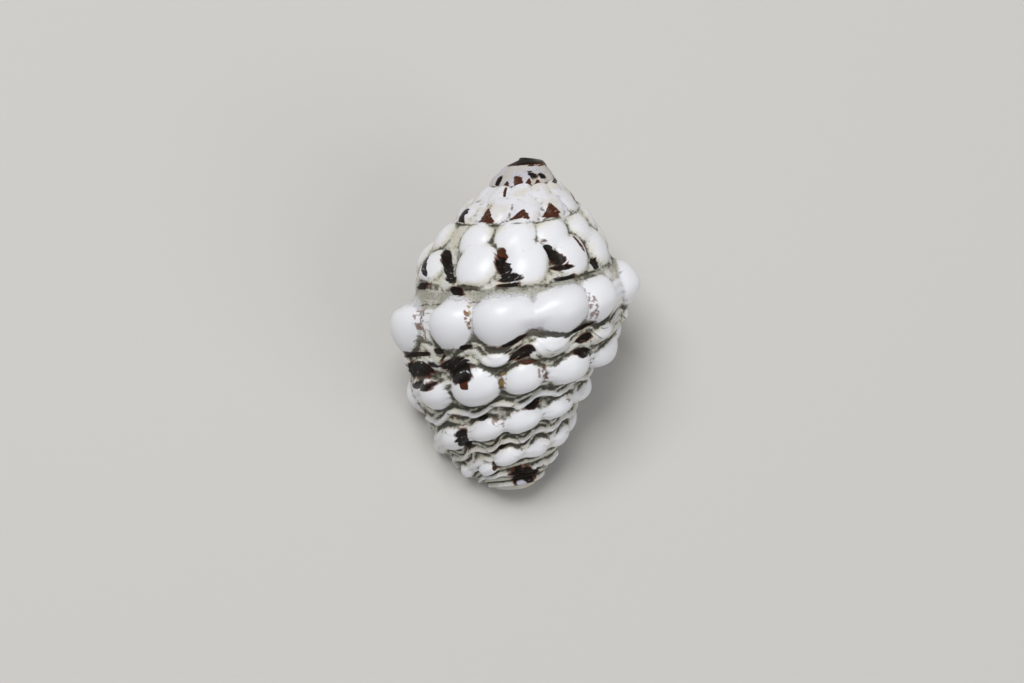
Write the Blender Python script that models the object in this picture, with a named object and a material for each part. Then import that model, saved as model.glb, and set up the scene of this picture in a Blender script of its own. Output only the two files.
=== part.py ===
"""A rock snail shell, lying on its aperture with its spire raised.

The shell is one solid. It is a right-handed horn coiled round an axis: a strip of wall runs down the spire
between two turns of the suture, opens into the last whorl, and ends at the outer lip. Rows of knobs and thin
cords are raised on that wall along its normals. The aperture is a blind hollow that follows the whorl back
from the lip, and the siphonal canal is the slot at its lower end.

The shell is worked out in millimetres in its own frame, with the coiling axis on Z and the apex up. Depth is
the distance down that axis from the point where the cone of the spire would end, a turn is one whorl of
growth with 0 at the middle of the back, and a station is the distance along the wall from the suture. The
finished mesh is in metres, +Z up, with the middle of its foot at the origin and its spire towards +Y.
"""

import math
from typing import NamedTuple

import bmesh
import bpy
import numpy as np
from mathutils import Matrix

MM = 0.001

# Coiling
WHORL_GROWTH = 1.66  # width of a whorl against the one before it
DEPTH_GROWTH = 2.08  # its depth down the axis against the one before it
SUTURE_DEPTH = 10.3
SUTURE_RADIUS = 8.3
LAST_SUTURE_SPREAD = 0.5  # past the middle of the back the suture widens by this share of the cone's growth
LAST_SUTURE_DROP = 0.4  # and drops by this share of it
APEX_BLUNTNESS = 0.15  # how much narrower than the cone the tip of the spire is
SPIRE_BULGE = 0.15  # how far a spire whorl swells past the straight line between its sutures
ADULT_FROM, ADULT_TO = -0.74, -0.36  # turns between which spire sculpture becomes that of the last whorl

# Ribs: every row has one knob to a rib
RIBS = 10
FIRST_RIB_TURN = 0.0236
RIB_WANDER_DEG = (0.0, -3.5, 0.0, 3.0, 2.0, 0.0, 5.0, 9.5, 10.5, 6.5)
RIB_SIZE = (1.12, 0.97, 0.88, 0.98, 1.04, 0.97, 1.0, 0.98, 0.98, 1.0)
APEX_RIB, LIP_RIB = -36.0, 2.75

# Mesh
COLUMNS_PER_RIB = 8
SPIRE_STATIONS = (0.0, 0.4, 1.0, 1.65, 2.35, 3.1, 3.85, 4.7, 5.6, 6.6, 7.5)
BASE_STATIONS = (8.1, 8.7, 9.3, 9.9, 10.6, 11.3, 11.9, 12.6, 13.3, 14.0, 14.8, 15.5, 16.2, 16.9, 17.8, 18.9, 20.3)
NEXT_SUTURE = SPIRE_STATIONS[-1]

# Wear
WORN_FROM, WORN_TO = -2.2, -1.1  # turns between which the early knobs are worn down
WORN_APEX_DEPTH = 0.75
WORN_APEX_DOME = 0.1
WORN_FOOT = 0.35

# Rest: turned about its axis, then its spire raised
ROLL_DEG = -2.2
LEAN_DEG = 27.0


class Level(NamedTuple):
    """Where the bare wall stands at one station in the middle of the back, and how much of each growth it shares."""

    station: float
    depth: float
    radius: float
    depth_share: float
    radius_share: float


WALL = (
    Level(0.0, SUTURE_DEPTH, SUTURE_RADIUS, 1.0, 1.0),
    Level(0.5, 10.7, 8.2, 0.85, 0.6),
    Level(2.35, 12.55, 8.5, 0.82, 0.45),
    Level(5.65, 15.85, 8.75, 0.82, 0.4),
    Level(8.45, 18.3, 7.4, 0.82, 0.65),
    Level(10.9, 20.5, 6.35, 0.78, 0.75),
    Level(12.6, 22.0, 5.55, 0.75, 0.6),
    Level(14.65, 23.85, 4.65, 0.6, 0.1),
    Level(16.2, 25.2, 3.85, 0.45, -0.4),
    Level(18.3, 26.95, 2.75, 0.2, -0.3),
    Level(20.3, 28.4, 1.4, 0.05, 0.0),
)


class Row(NamedTuple):
    """A row of knobs. Sizes are in millimetres at the middle of the back, and shifts are in ribs towards the lip.
    Knobs that stand off their place have their own entry: rib of the turn, shift, station and size."""

    station: float
    shift: float
    half_along: float
    half_across: float
    height: float
    own: tuple = ()


SPIRE_ROWS = (
    Row(1.65, -0.05, 2.25, 1.75, 0.85),
    Row(4.95, -0.35, 2.6, 2.4, 1.15, ((1, -0.35, 5.35, 1.0), (2, -0.35, 5.85, 1.0), (9, -0.42, 4.85, 1.0))),
)
LAST_ROWS = (
    Row(0.55, -0.2, 1.3, 0.55, 0.25),
    Row(2.35, 0.0, 2.2, 2.15, 1.9, ((1, -0.1, 2.45, 1.0), (2, -0.1, 2.65, 1.15), (8, 0.22, 2.0, 1.0), (9, 0.0, 2.15, 1.05))),
    Row(5.1, 0.05, 1.5, 0.8, 0.5, ((0, 0.12, 5.65, 0.75), (9, 0.15, 4.95, 1.15), (1, 0.3, 5.35, 0.3))),
    Row(7.85, -0.33, 1.9, 1.7, 1.35, ((1, -0.5, 7.7, 1.0), (2, -0.6, 8.1, 1.0))),
    Row(12.1, -0.42, 1.65, 1.25, 0.9, ((1, -0.5, 12.15, 1.0), (2, -0.55, 12.3, 1.0), (3, -0.5, 12.1, 0.55))),
    Row(15.65, -0.1, 1.0, 0.95, 0.7, ((0, 0.05, 15.5, 1.0), (1, -0.05, 16.4, 1.0), (3, -0.1, 16.0, 0.6))),
)

DOME_POWER = 0.6  # 0.5 is an ellipsoid, and more eases its foot into the wall
DOME_FOOT = 0.012  # how widely that foot spreads


class Cord(NamedTuple):
    """A thin ridge along the whorl."""

    station: float
    half_across: float
    height: float


CORDS = (
    Cord(2.35, 1.7, 0.55),
    Cord(5.65, 0.6, 0.15),
    Cord(7.85, 1.3, 0.5),
    Cord(10.2, 0.4, 0.35),
    Cord(12.1, 1.0, 0.55),
    Cord(14.35, 0.35, 0.35),
    Cord(15.65, 0.8, 0.35),
    Cord(18.0, 0.35, 0.3),
    Cord(19.2, 0.35, 0.25),
)

# Aperture
LIP_WALL = 1.1
CALLUS = 0.25
POSTERIOR_GAP = 1.3
CANAL_END_DEPTH = 28.65
CANAL_DISH = 0.8  # how far the end of the canal is hollowed
COLUMELLA = ((0.0, 1.0), (0.1, 0.93), (0.24, 0.66), (0.36, 0.42), (0.5, 0.29), (0.7, 0.24), (1.0, 0.18))
COLUMELLA_SPAN = 0.3  # turns over which the wall of the last whorl leaves the columella
TEETH = 5
TOOTH_HEIGHT = 0.45


class Ring(NamedTuple):
    """One ring of the hollow: degrees of growth back from the lip, how much of the wall it stands clear of, how
    open it is, how much of the aperture's length is left and how much of the teeth stands on it."""

    back_deg: float
    clear: float
    opening: float
    length: float
    teeth: float


HOLLOW = (
    Ring(-1.4, 0.3, 1.0, 1.0, 0.0),
    Ring(2.0, 0.9, 1.0, 1.0, 0.0),
    Ring(9.0, 1.1, 1.0, 1.0, 1.0),
    Ring(20.0, 1.0, 1.0, 0.97, 0.6),
    Ring(36.0, 1.0, 1.0, 0.9, 0.0),
    Ring(58.0, 1.0, 0.95, 0.8, 0.0),
    Ring(84.0, 1.0, 0.8, 0.7, 0.0),
    Ring(112.0, 1.0, 0.45, 0.6, 0.0),
)


def smooth_step(value, low, high):
    """0 below low, 1 above high, and an S-curve between them."""
    share = np.clip((value - low) / (high - low), 0.0, 1.0)
    return share * share * (3.0 - 2.0 * share)


def between_ribs(values, rib):
    """A value given for each rib of a turn, eased from one rib to the next."""
    values = np.array(values)
    before = np.floor(rib).astype(int)
    share = smooth_step(rib - before, 0.0, 1.0)
    return values[before % RIBS] * (1.0 - share) + values[(before + 1) % RIBS] * share


def turn_of(rib):
    """Turns of growth at a rib number, with each rib a little off its even place."""
    return FIRST_RIB_TURN + rib / RIBS + between_ribs(RIB_WANDER_DEG, rib) / 360.0


LIP_TURN = float(turn_of(np.array(LIP_RIB)))
LAST_WHORL_TURN = LIP_TURN - 1.0


def suture(turn):
    """Depth and radius of the suture."""
    size, deep = WHORL_GROWTH**turn, DEPTH_GROWTH**turn
    depth = SUTURE_DEPTH * np.where(deep > 1.0, 1.0 + LAST_SUTURE_DROP * (deep - 1.0), deep)
    spread = np.where(size > 1.0, 1.0 + LAST_SUTURE_SPREAD * (size - 1.0), size)
    blunt = 1.0 - APEX_BLUNTNESS * (1.0 - smooth_step(depth, 2.4, 5.0))
    return depth, SUTURE_RADIUS * spread * blunt


def through_levels(station, values):
    """A smooth curve through one value for each level of the wall."""
    at = np.array([level.station for level in WALL])
    slope = np.gradient(values, at, axis=0)
    k = np.clip(np.searchsorted(at, station, side="right") - 1, 0, len(at) - 2)
    gap = at[k + 1] - at[k]
    x = (station - at[k]) / gap
    columns = np.arange(values.shape[1])
    low, high = values[k, columns], values[k + 1, columns]
    rise_low, rise_high = slope[k, columns] * gap, slope[k + 1, columns] * gap
    return (
        low * (2 * x**3 - 3 * x**2 + 1)
        + high * (3 * x**2 - 2 * x**3)
        + rise_low * (x**3 - 2 * x**2 + x)
        + rise_high * (x**3 - x**2)
    )


def columella_radius(turn, depth):
    """Radius of the inner side of the aperture, one turn after the given one."""
    top, radius = suture(turn + 1.0)
    share = (depth - top) / (CANAL_END_DEPTH - top)
    at, ratio = np.array(COLUMELLA).T
    return radius * np.interp(share, at, ratio)


def wall(turn, station):
    """Depth and radius of the bare wall, for arrays of turns and stations of one length."""
    size, deep = WHORL_GROWTH**turn, DEPTH_GROWTH**turn
    depths = np.array([lv.depth * (1 + lv.depth_share * (deep - 1)) for lv in WALL])
    radii = np.array([lv.radius * (1 + lv.radius_share * (size - 1)) for lv in WALL])
    top_depth, top_radius = suture(turn)
    depths[0], radii[0] = top_depth, top_radius
    depth, radius = through_levels(station, depths), through_levels(station, radii)

    foot_depth, foot_radius = suture(turn + 1.0)
    down = np.minimum(station / NEXT_SUTURE, 1.0)
    swell = SPIRE_BULGE * size * 4.0 * down * (1.0 - down)
    spire_depth = top_depth + down * (foot_depth - top_depth)
    spire_radius = top_radius + down * (foot_radius - top_radius) + swell

    adult = smooth_step(turn, ADULT_FROM - 0.2, ADULT_TO)
    free = smooth_step(turn, LAST_WHORL_TURN, LAST_WHORL_TURN + 0.5)
    joint = np.full_like(station, NEXT_SUTURE)
    joint_depth, joint_radius = through_levels(joint, depths), through_levels(joint, radii)
    off_depth = (1 - free) * (foot_depth - joint_depth)
    off_radius = (1 - free) * (foot_radius - joint_radius)
    beyond = np.exp(-np.maximum(station - NEXT_SUTURE, 0.0) / 1.2)
    depth, radius = depth + off_depth * beyond * down**2, radius + off_radius * beyond * down**2
    above = station <= NEXT_SUTURE
    depth = np.where(above, spire_depth + adult * (depth - spire_depth), depth)
    radius = np.where(above, spire_radius + adult * (radius - spire_radius), radius)
    inner = 1.0 - smooth_step(turn, LAST_WHORL_TURN, LAST_WHORL_TURN + COLUMELLA_SPAN)
    narrow = np.minimum(columella_radius(turn, depth), radius)
    return depth, np.where(above, radius, radius + inner * (narrow - radius))


def row_height(row, rib, station, rib_mm, size):
    """Height of one row's knobs, as domes that meet the wall steeply. The size is that of the whorl."""
    height = np.zeros_like(station)
    for neighbour in (-1, 0, 1):
        knob = np.round(rib - row.shift) + neighbour
        shift, at, gain = np.full_like(rib, row.shift), np.full_like(rib, row.station), between_ribs(RIB_SIZE, knob)
        for rib_of_turn, own_shift, own_station, own_size in row.own:
            chosen = np.mod(knob, RIBS) == rib_of_turn
            shift, at = np.where(chosen, own_shift, shift), np.where(chosen, own_station, at)
            gain = np.where(chosen, own_size * gain, gain)
        along, across = (rib - knob - shift) * rib_mm, (station - at) * size
        reach = (along / (row.half_along * size * gain)) ** 2 + (across / (row.half_across * size * gain)) ** 2
        left = (1.0 - reach + np.sqrt((1.0 - reach) ** 2 + DOME_FOOT)) / 2
        height = np.maximum(height, row.height * size * gain * left**DOME_POWER)
    return height


def relief(rib, turn, station, rib_mm):
    """Height of the knobs and cords above the bare wall."""
    adult = smooth_step(turn, ADULT_FROM, ADULT_TO)
    whorl = WHORL_GROWTH**turn
    last = 1.0 + 0.5 * (whorl - 1.0)

    spire, knobs = (
        np.sum([row_height(row, rib, station, rib_mm, size) ** 3 for row in rows], axis=0) ** (1 / 3)
        for rows, size in ((SPIRE_ROWS, whorl), (LAST_ROWS, last))
    )
    ridges = np.max(
        [c.height * np.maximum(0.0, 1 - ((station - c.station) / c.half_across) ** 2) for c in CORDS], axis=0
    )
    body = np.hypot(knobs, ridges)
    height = spire + adult * (body - spire)
    covered = 1.0 - smooth_step(rib, LIP_RIB - RIBS, LIP_RIB - RIBS + 0.5)
    height *= smooth_step(station, 0.0, 0.5) * (0.15 + 0.85 * smooth_step(turn, WORN_FROM, WORN_TO))
    height *= 1.0 - covered * smooth_step(station, NEXT_SUTURE - 0.5, NEXT_SUTURE)
    return height * (1.0 - 0.6 * smooth_step(rib, LIP_RIB - 0.35, LIP_RIB))


def place(turn, depth, radius):
    """Points of the shell's own frame, where growth turns clockwise as seen from the apex."""
    angle = -2.0 * math.pi * turn
    return np.stack([radius * np.cos(angle), radius * np.sin(angle), -depth], axis=-1)


def bare_point(rib, station):
    turn = turn_of(rib)
    return place(turn, *wall(turn, station))


def outer_point(rib, station):
    """Points of the sculptured outside for arrays of rib numbers and stations."""
    step = 0.01
    point = bare_point(rib, station)
    along = (bare_point(rib + step, station) - bare_point(rib - step, station)) / (2 * step)
    up = bare_point(rib, np.maximum(station - step, 0.0))
    across = bare_point(rib, np.maximum(station - step, 0.0) + 2 * step) - up
    normal = np.cross(along, across)
    normal /= np.linalg.norm(normal, axis=-1, keepdims=True)
    outward = point * [1.0, 1.0, 0.0]
    normal *= np.sign(np.sum(normal * outward, axis=-1, keepdims=True))
    rib_mm = np.linalg.norm(along, axis=-1)
    point = point + normal * relief(rib, turn_of(rib), station, rib_mm)[:, None]
    limit = -WORN_APEX_DEPTH - WORN_APEX_DOME * (point[:, 0] ** 2 + point[:, 1] ** 2)
    gap = limit - point[:, 2]
    softness = 0.12
    point[:, 2] = limit - softness * np.logaddexp(0.0, gap / softness)
    return point


def radius_at_depth(turn, depth):
    """Radius of the bare wall at given depths of the section at one turn."""
    stations = np.linspace(0.3, BASE_STATIONS[-1], 160)
    depths, radii = wall(np.full_like(stations, turn), stations)
    order = np.argsort(depths)
    return np.interp(depth, depths[order], radii[order])


def hollow_ring(ring, share, outer):
    """Points of one ring of the hollow, for places given by their share of the aperture's length and their side."""
    turn = np.array(LIP_TURN - ring.back_deg / 360.0)
    top = suture(turn)[0] + POSTERIOR_GAP * ring.clear
    depth = top + share * ring.length * (CANAL_END_DEPTH - CANAL_DISH * ring.clear - top)
    toothed = TOOTH_HEIGHT * ring.teeth * np.maximum(0.0, np.cos(2 * math.pi * (share - 0.2) * TEETH / 0.6))
    toothed = toothed * smooth_step(share, 0.1, 0.2) * (1.0 - smooth_step(share, 0.68, 0.8))
    wall_mm = LIP_WALL * (1.0 - 0.4 * smooth_step(share, 0.6, 1.0)) * ring.clear
    outside = radius_at_depth(turn, depth) - wall_mm - toothed
    inside = columella_radius(turn - 1.0, depth) + CALLUS * ring.clear
    outside = np.maximum(outside, inside + 0.3)
    middle, half = (outside + inside) / 2, (outside - inside) / 2 * ring.opening
    return place(np.full_like(depth, turn), depth, middle + np.where(outer, half, -half))


def shell_points_and_faces(columns_per_rib, spire_stations, base_stations, hollow):
    """Vertices and faces of the whole shell in its own frame, in millimetres."""
    ribs = np.arange(round((LIP_RIB - APEX_RIB) * columns_per_rib) + 1) / columns_per_rib + APEX_RIB
    last_column, whorl_columns = len(ribs) - 1, RIBS * columns_per_rib
    first_base = last_column - whorl_columns
    last_spire, last_row = len(spire_stations) - 1, len(spire_stations) + len(base_stations) - 1
    stations = np.array(spire_stations + base_stations)
    points, index = [], {}

    # The outside. The lower edge of each turn is the upper edge of the next, so that edge is made once.
    for column, rib in enumerate(ribs):
        rows = range(last_row + 1) if column >= first_base else range(last_spire + 1)
        at = stations[list(rows)]
        for row, point in zip(rows, outer_point(np.full_like(at, rib), at)):
            if row != last_spire or column + whorl_columns > last_column:
                index[column, row] = len(points)
                points.append(point)
    for column in range(first_base + 1):
        index[column, last_spire] = index[column + whorl_columns, 0]
    faces = []
    for column in range(last_column):
        for row in range(last_row if column >= first_base else last_spire):
            corners = ((column, row), (column, row + 1), (column + 1, row + 1), (column + 1, row))
            faces.append([index[corner] for corner in corners])

    # The worn apex
    apex_edge = [index[column, 0] for column in range(whorl_columns + 1)]
    apex_edge += [index[0, row] for row in range(last_spire - 1, 0, -1)]
    apex = len(points)
    points.append(np.mean([points[i] for i in apex_edge], axis=0))
    faces += [[a, b, apex] for a, b in zip(apex_edge, apex_edge[1:] + apex_edge[:1])]

    # The dished end of the canal, open towards the aperture
    canal_edge = [index[column, last_row] for column in range(first_base, last_column + 1)]
    canal = len(points)
    points.append(np.mean([points[i] for i in canal_edge], axis=0) + [0.0, 0.0, CANAL_DISH])
    faces += [[a, b, canal] for a, b in zip(canal_edge, canal_edge[1:])]

    # The aperture
    outer_lip = [index[last_column, row] for row in range(last_row + 1)]
    inner_lip = [index[first_base, row] for row in range(last_row, last_spire, -1)]
    edge = outer_lip + inner_lip
    depth = -np.array([points[i] for i in edge])[:, 2]
    share = np.clip((depth - depth[0]) / (depth[last_row] - depth[0]), 0.0, 1.0)
    outer = np.arange(len(edge)) <= last_row
    for number, ring in enumerate(hollow):
        fresh = [len(points) + k for k in range(len(edge))]
        points.extend(hollow_ring(ring, share, outer))
        for k, (here, inward) in enumerate(zip(edge, fresh)):
            after = (k + 1) % len(edge)
            if number == 0 and k == last_row:
                faces.append([here, canal, inward])
                faces.append([canal, edge[after], fresh[after]])
                faces.append([canal, fresh[after], inward])
            else:
                faces.append([here, edge[after], fresh[after], inward])
        edge = fresh
    end = len(points)
    points.append(np.mean([points[i] for i in edge], axis=0))
    faces += [[a, b, end] for a, b in zip(edge, edge[1:] + edge[:1])]
    return np.array(points), faces


def laid_down(points):
    """The shell turned onto its aperture, its contact points worn flat, over the origin."""
    back_up = Matrix(((0, 1, 0), (0, 0, 1), (1, 0, 0)))
    roll = Matrix.Rotation(math.radians(ROLL_DEG), 3, "Z")
    lean = Matrix.Rotation(math.radians(LEAN_DEG), 3, "X")
    turned = points @ np.array(lean @ back_up @ roll).T
    turned[:, 2] -= turned[:, 2].min() + WORN_FOOT
    turned[:, 2] = np.maximum(turned[:, 2], 0.0)
    middle = (turned[:, :2].min(axis=0) + turned[:, :2].max(axis=0)) / 2
    turned[:, :2] -= middle
    return turned


def shell_material():
    """Glazed white shell."""
    material = bpy.data.materials.new("glazed_white_shell")
    material.use_nodes = True
    shader = material.node_tree.nodes["Principled BSDF"]
    shader.inputs["Base Color"].default_value = (0.82, 0.81, 0.78, 1.0)
    shader.inputs["Roughness"].default_value = 0.35
    return material


def make_shell():
    """The shell, as one closed mesh."""
    points, faces = shell_points_and_faces(COLUMNS_PER_RIB, SPIRE_STATIONS, BASE_STATIONS, HOLLOW)
    mesh = bpy.data.meshes.new("shell")
    mesh.from_pydata((laid_down(points) * MM).tolist(), [], faces)
    solid = bmesh.new()
    solid.from_mesh(mesh)
    bmesh.ops.recalc_face_normals(solid, faces=solid.faces)
    solid.to_mesh(mesh)
    solid.free()
    mesh.materials.append(shell_material())
    shell = bpy.data.objects.new("shell", mesh)
    bpy.context.scene.collection.objects.link(shell)
    return shell


def main():
    """Clears the scene and builds the shell."""
    for old in list(bpy.data.objects):
        bpy.data.objects.remove(old)
    make_shell()


main()
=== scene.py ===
"""Looks of a rock snail shell that lies on its aperture, with its spire raised a little.

The shell is worked out in millimetres in its own frame, with the coiling axis on Z and the apex up. A turn
is one whorl of growth, with 0 at the middle of the back. A rib is a tenth of a turn, and a station is the
distance along the wall from the suture, so knobs, cords and markings follow the coil. The map "growth" holds
the rib and the number of the thread on the outside. On the inside it holds the share of the aperture's length
and the degrees of growth back from the lip.
"""

import logging
import math
from dataclasses import dataclass, field
from enum import Enum

import bpy
import numpy as np
from mathutils import Matrix, Vector


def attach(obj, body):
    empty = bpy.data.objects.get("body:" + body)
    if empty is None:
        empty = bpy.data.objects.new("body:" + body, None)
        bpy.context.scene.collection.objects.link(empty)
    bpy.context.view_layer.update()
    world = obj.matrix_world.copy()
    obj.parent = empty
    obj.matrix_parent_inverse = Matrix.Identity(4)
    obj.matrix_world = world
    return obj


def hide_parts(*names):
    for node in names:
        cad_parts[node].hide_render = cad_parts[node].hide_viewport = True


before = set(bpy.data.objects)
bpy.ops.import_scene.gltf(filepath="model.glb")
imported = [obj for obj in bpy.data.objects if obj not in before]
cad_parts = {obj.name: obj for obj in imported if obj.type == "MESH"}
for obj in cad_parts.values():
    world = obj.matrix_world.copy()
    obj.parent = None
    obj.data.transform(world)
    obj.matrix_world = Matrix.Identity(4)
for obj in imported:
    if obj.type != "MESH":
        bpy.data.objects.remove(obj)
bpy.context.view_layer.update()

LOG = logging.getLogger("rock_snail_shell")
MM = 0.001
Signals = dict[str, bpy.types.Node | bpy.types.NodeSocket]


class Whorls(Enum):
    """Which whorls a row of knobs belongs to, with the share of the whorl's growth that its sizes take."""

    SPIRE = 1.0
    LAST = 0.5


class Tint(Enum):
    """What a marking is coloured with, as the attribute that holds it."""

    INK = "ink"
    RUST = "rust"
    OCHRE = "ochre"
    SPOTS = "spots"
    CHALK = "chalk"


def smooth_step(value: np.ndarray, low: float, high: float) -> np.ndarray:
    """Eases from 0 to 1.

    Args:
        value: Numbers to ease.
        low: Value at and below which the result is 0.
        high: Value at and above which the result is 1.

    Returns:
        An S-curve between the two.
    """
    share = np.clip((value - low) / (high - low), 0.0, 1.0)
    return share * share * (3.0 - 2.0 * share)


def linear(hex_colour: str) -> tuple[float, float, float, float]:
    """Turns an sRGB hex colour to linear light.

    Args:
        hex_colour: Colour such as "#f0eee9".

    Returns:
        Linear red, green and blue, and alpha 1.
    """
    parts = [int(hex_colour[i : i + 2], 16) / 255 for i in (1, 3, 5)]
    red, green, blue = (p / 12.92 if p <= 0.04045 else ((p + 0.055) / 1.055) ** 2.4 for p in parts)
    return red, green, blue, 1.0


def add(
    tree: bpy.types.NodeTree, kind: str, inputs: dict | None = None, **settings: object
) -> bpy.types.Node:
    """Adds a node with its settings and links.

    Args:
        tree: Node tree to add to.
        kind: Type of node, such as "ShaderNodeMath".
        inputs: Socket name or number to a value, to the socket it is linked from, or to a node whose first
            output it is linked from.
        **settings: The node's own properties.

    Returns:
        The new node.
    """
    made = tree.nodes.new(kind)
    for name, value in settings.items():
        setattr(made, name, value)
    for key, value in (inputs or {}).items():
        source = value.outputs[0] if isinstance(value, bpy.types.Node) else value
        if isinstance(source, bpy.types.NodeSocket):
            tree.links.new(source, made.inputs[key])
        else:
            made.inputs[key].default_value = source
    return made


def put_in_scene(name: str, data: bpy.types.ID) -> bpy.types.Object:
    """Makes an object and links it to the scene.

    Args:
        name: Name of the object.
        data: Its mesh, lamp or camera.

    Returns:
        The object.
    """
    made = bpy.data.objects.new(name, data)
    bpy.context.scene.collection.objects.link(made)
    return made


def points_in_mm(mesh: bpy.types.Mesh) -> np.ndarray:
    """Reads a mesh's points.

    Args:
        mesh: A mesh in metres.

    Returns:
        One row of X, Y and Z to a point, in millimetres.
    """
    points = np.empty(len(mesh.vertices) * 3)
    mesh.vertices.foreach_get("co", points)
    return points.reshape(-1, 3) / MM


def write_values(mesh: bpy.types.Mesh, name: str, values: np.ndarray, first: int = 0) -> None:
    """Writes an attribute of a mesh's points, with 0 where no value is given.

    Args:
        mesh: The mesh.
        name: Name of the attribute, which is made if it is new.
        values: Values of points in a row.
        first: Number of the first of these points.
    """
    full = np.zeros(len(mesh.vertices), dtype=np.float32)
    full[first : first + len(values)] = values
    held = mesh.attributes.get(name) or mesh.attributes.new(name, "FLOAT", "POINT")
    held.data.foreach_set("value", full)


@dataclass(frozen=True)
class Level:
    """Where the bare wall stands at one station in the middle of the back.

    The shares say how much of the growth in depth and in radius it follows.
    """

    station: float
    depth: float
    radius: float
    depth_share: float
    radius_share: float


@dataclass(frozen=True)
class Own:
    """A knob that stands off its place: its rib of the turn, and its own shift, station and size."""

    rib: int
    shift: float
    station: float
    size: float


@dataclass(frozen=True)
class KnobRow:
    """A row with one knob to a rib.

    Sizes are in millimetres in the middle of the back, and shift is in ribs. All the row's knobs are as
    large as its size factor says, apart from those with a place and a size of their own.
    """

    name: str
    whorls: Whorls
    station: float
    shift: float
    half_along: float
    half_across: float
    height: float
    own: tuple[Own, ...] = ()
    size: float = 1.0


@dataclass(frozen=True)
class Cord:
    """A ridge along the last whorl, which can weave between the knobs."""

    name: str
    station: float
    half_across: float
    height: float
    wave: float = 0.0
    phase: float = 0.0


@dataclass(frozen=True)
class Ring:
    """One ring of the aperture's hollow, by degrees of growth back from the lip.

    The others say how much of the lip's thickness it stands clear of, how open it is, how much of the
    aperture's length is left, and how much of the teeth stands on it.
    """

    back_deg: float
    clear: float
    opening: float
    length: float
    teeth: float


@dataclass(frozen=True)
class Mark:
    """A coloured patch, by its middle and half its size in ribs and stations.

    It leans by some ribs a station, and can get wider downwards.
    """

    tint: Tint
    rib: float
    station: float
    half_rib: float
    half_station: float
    lean: float
    widens: float = 0.0


@dataclass(frozen=True)
class Round:
    """Markings that come again.

    Those from one rib to another are repeated every so many ribs, as long as they fall within two others.
    """

    first_rib: float
    last_rib: float
    every: float
    again_from: float
    back_to: float


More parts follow.
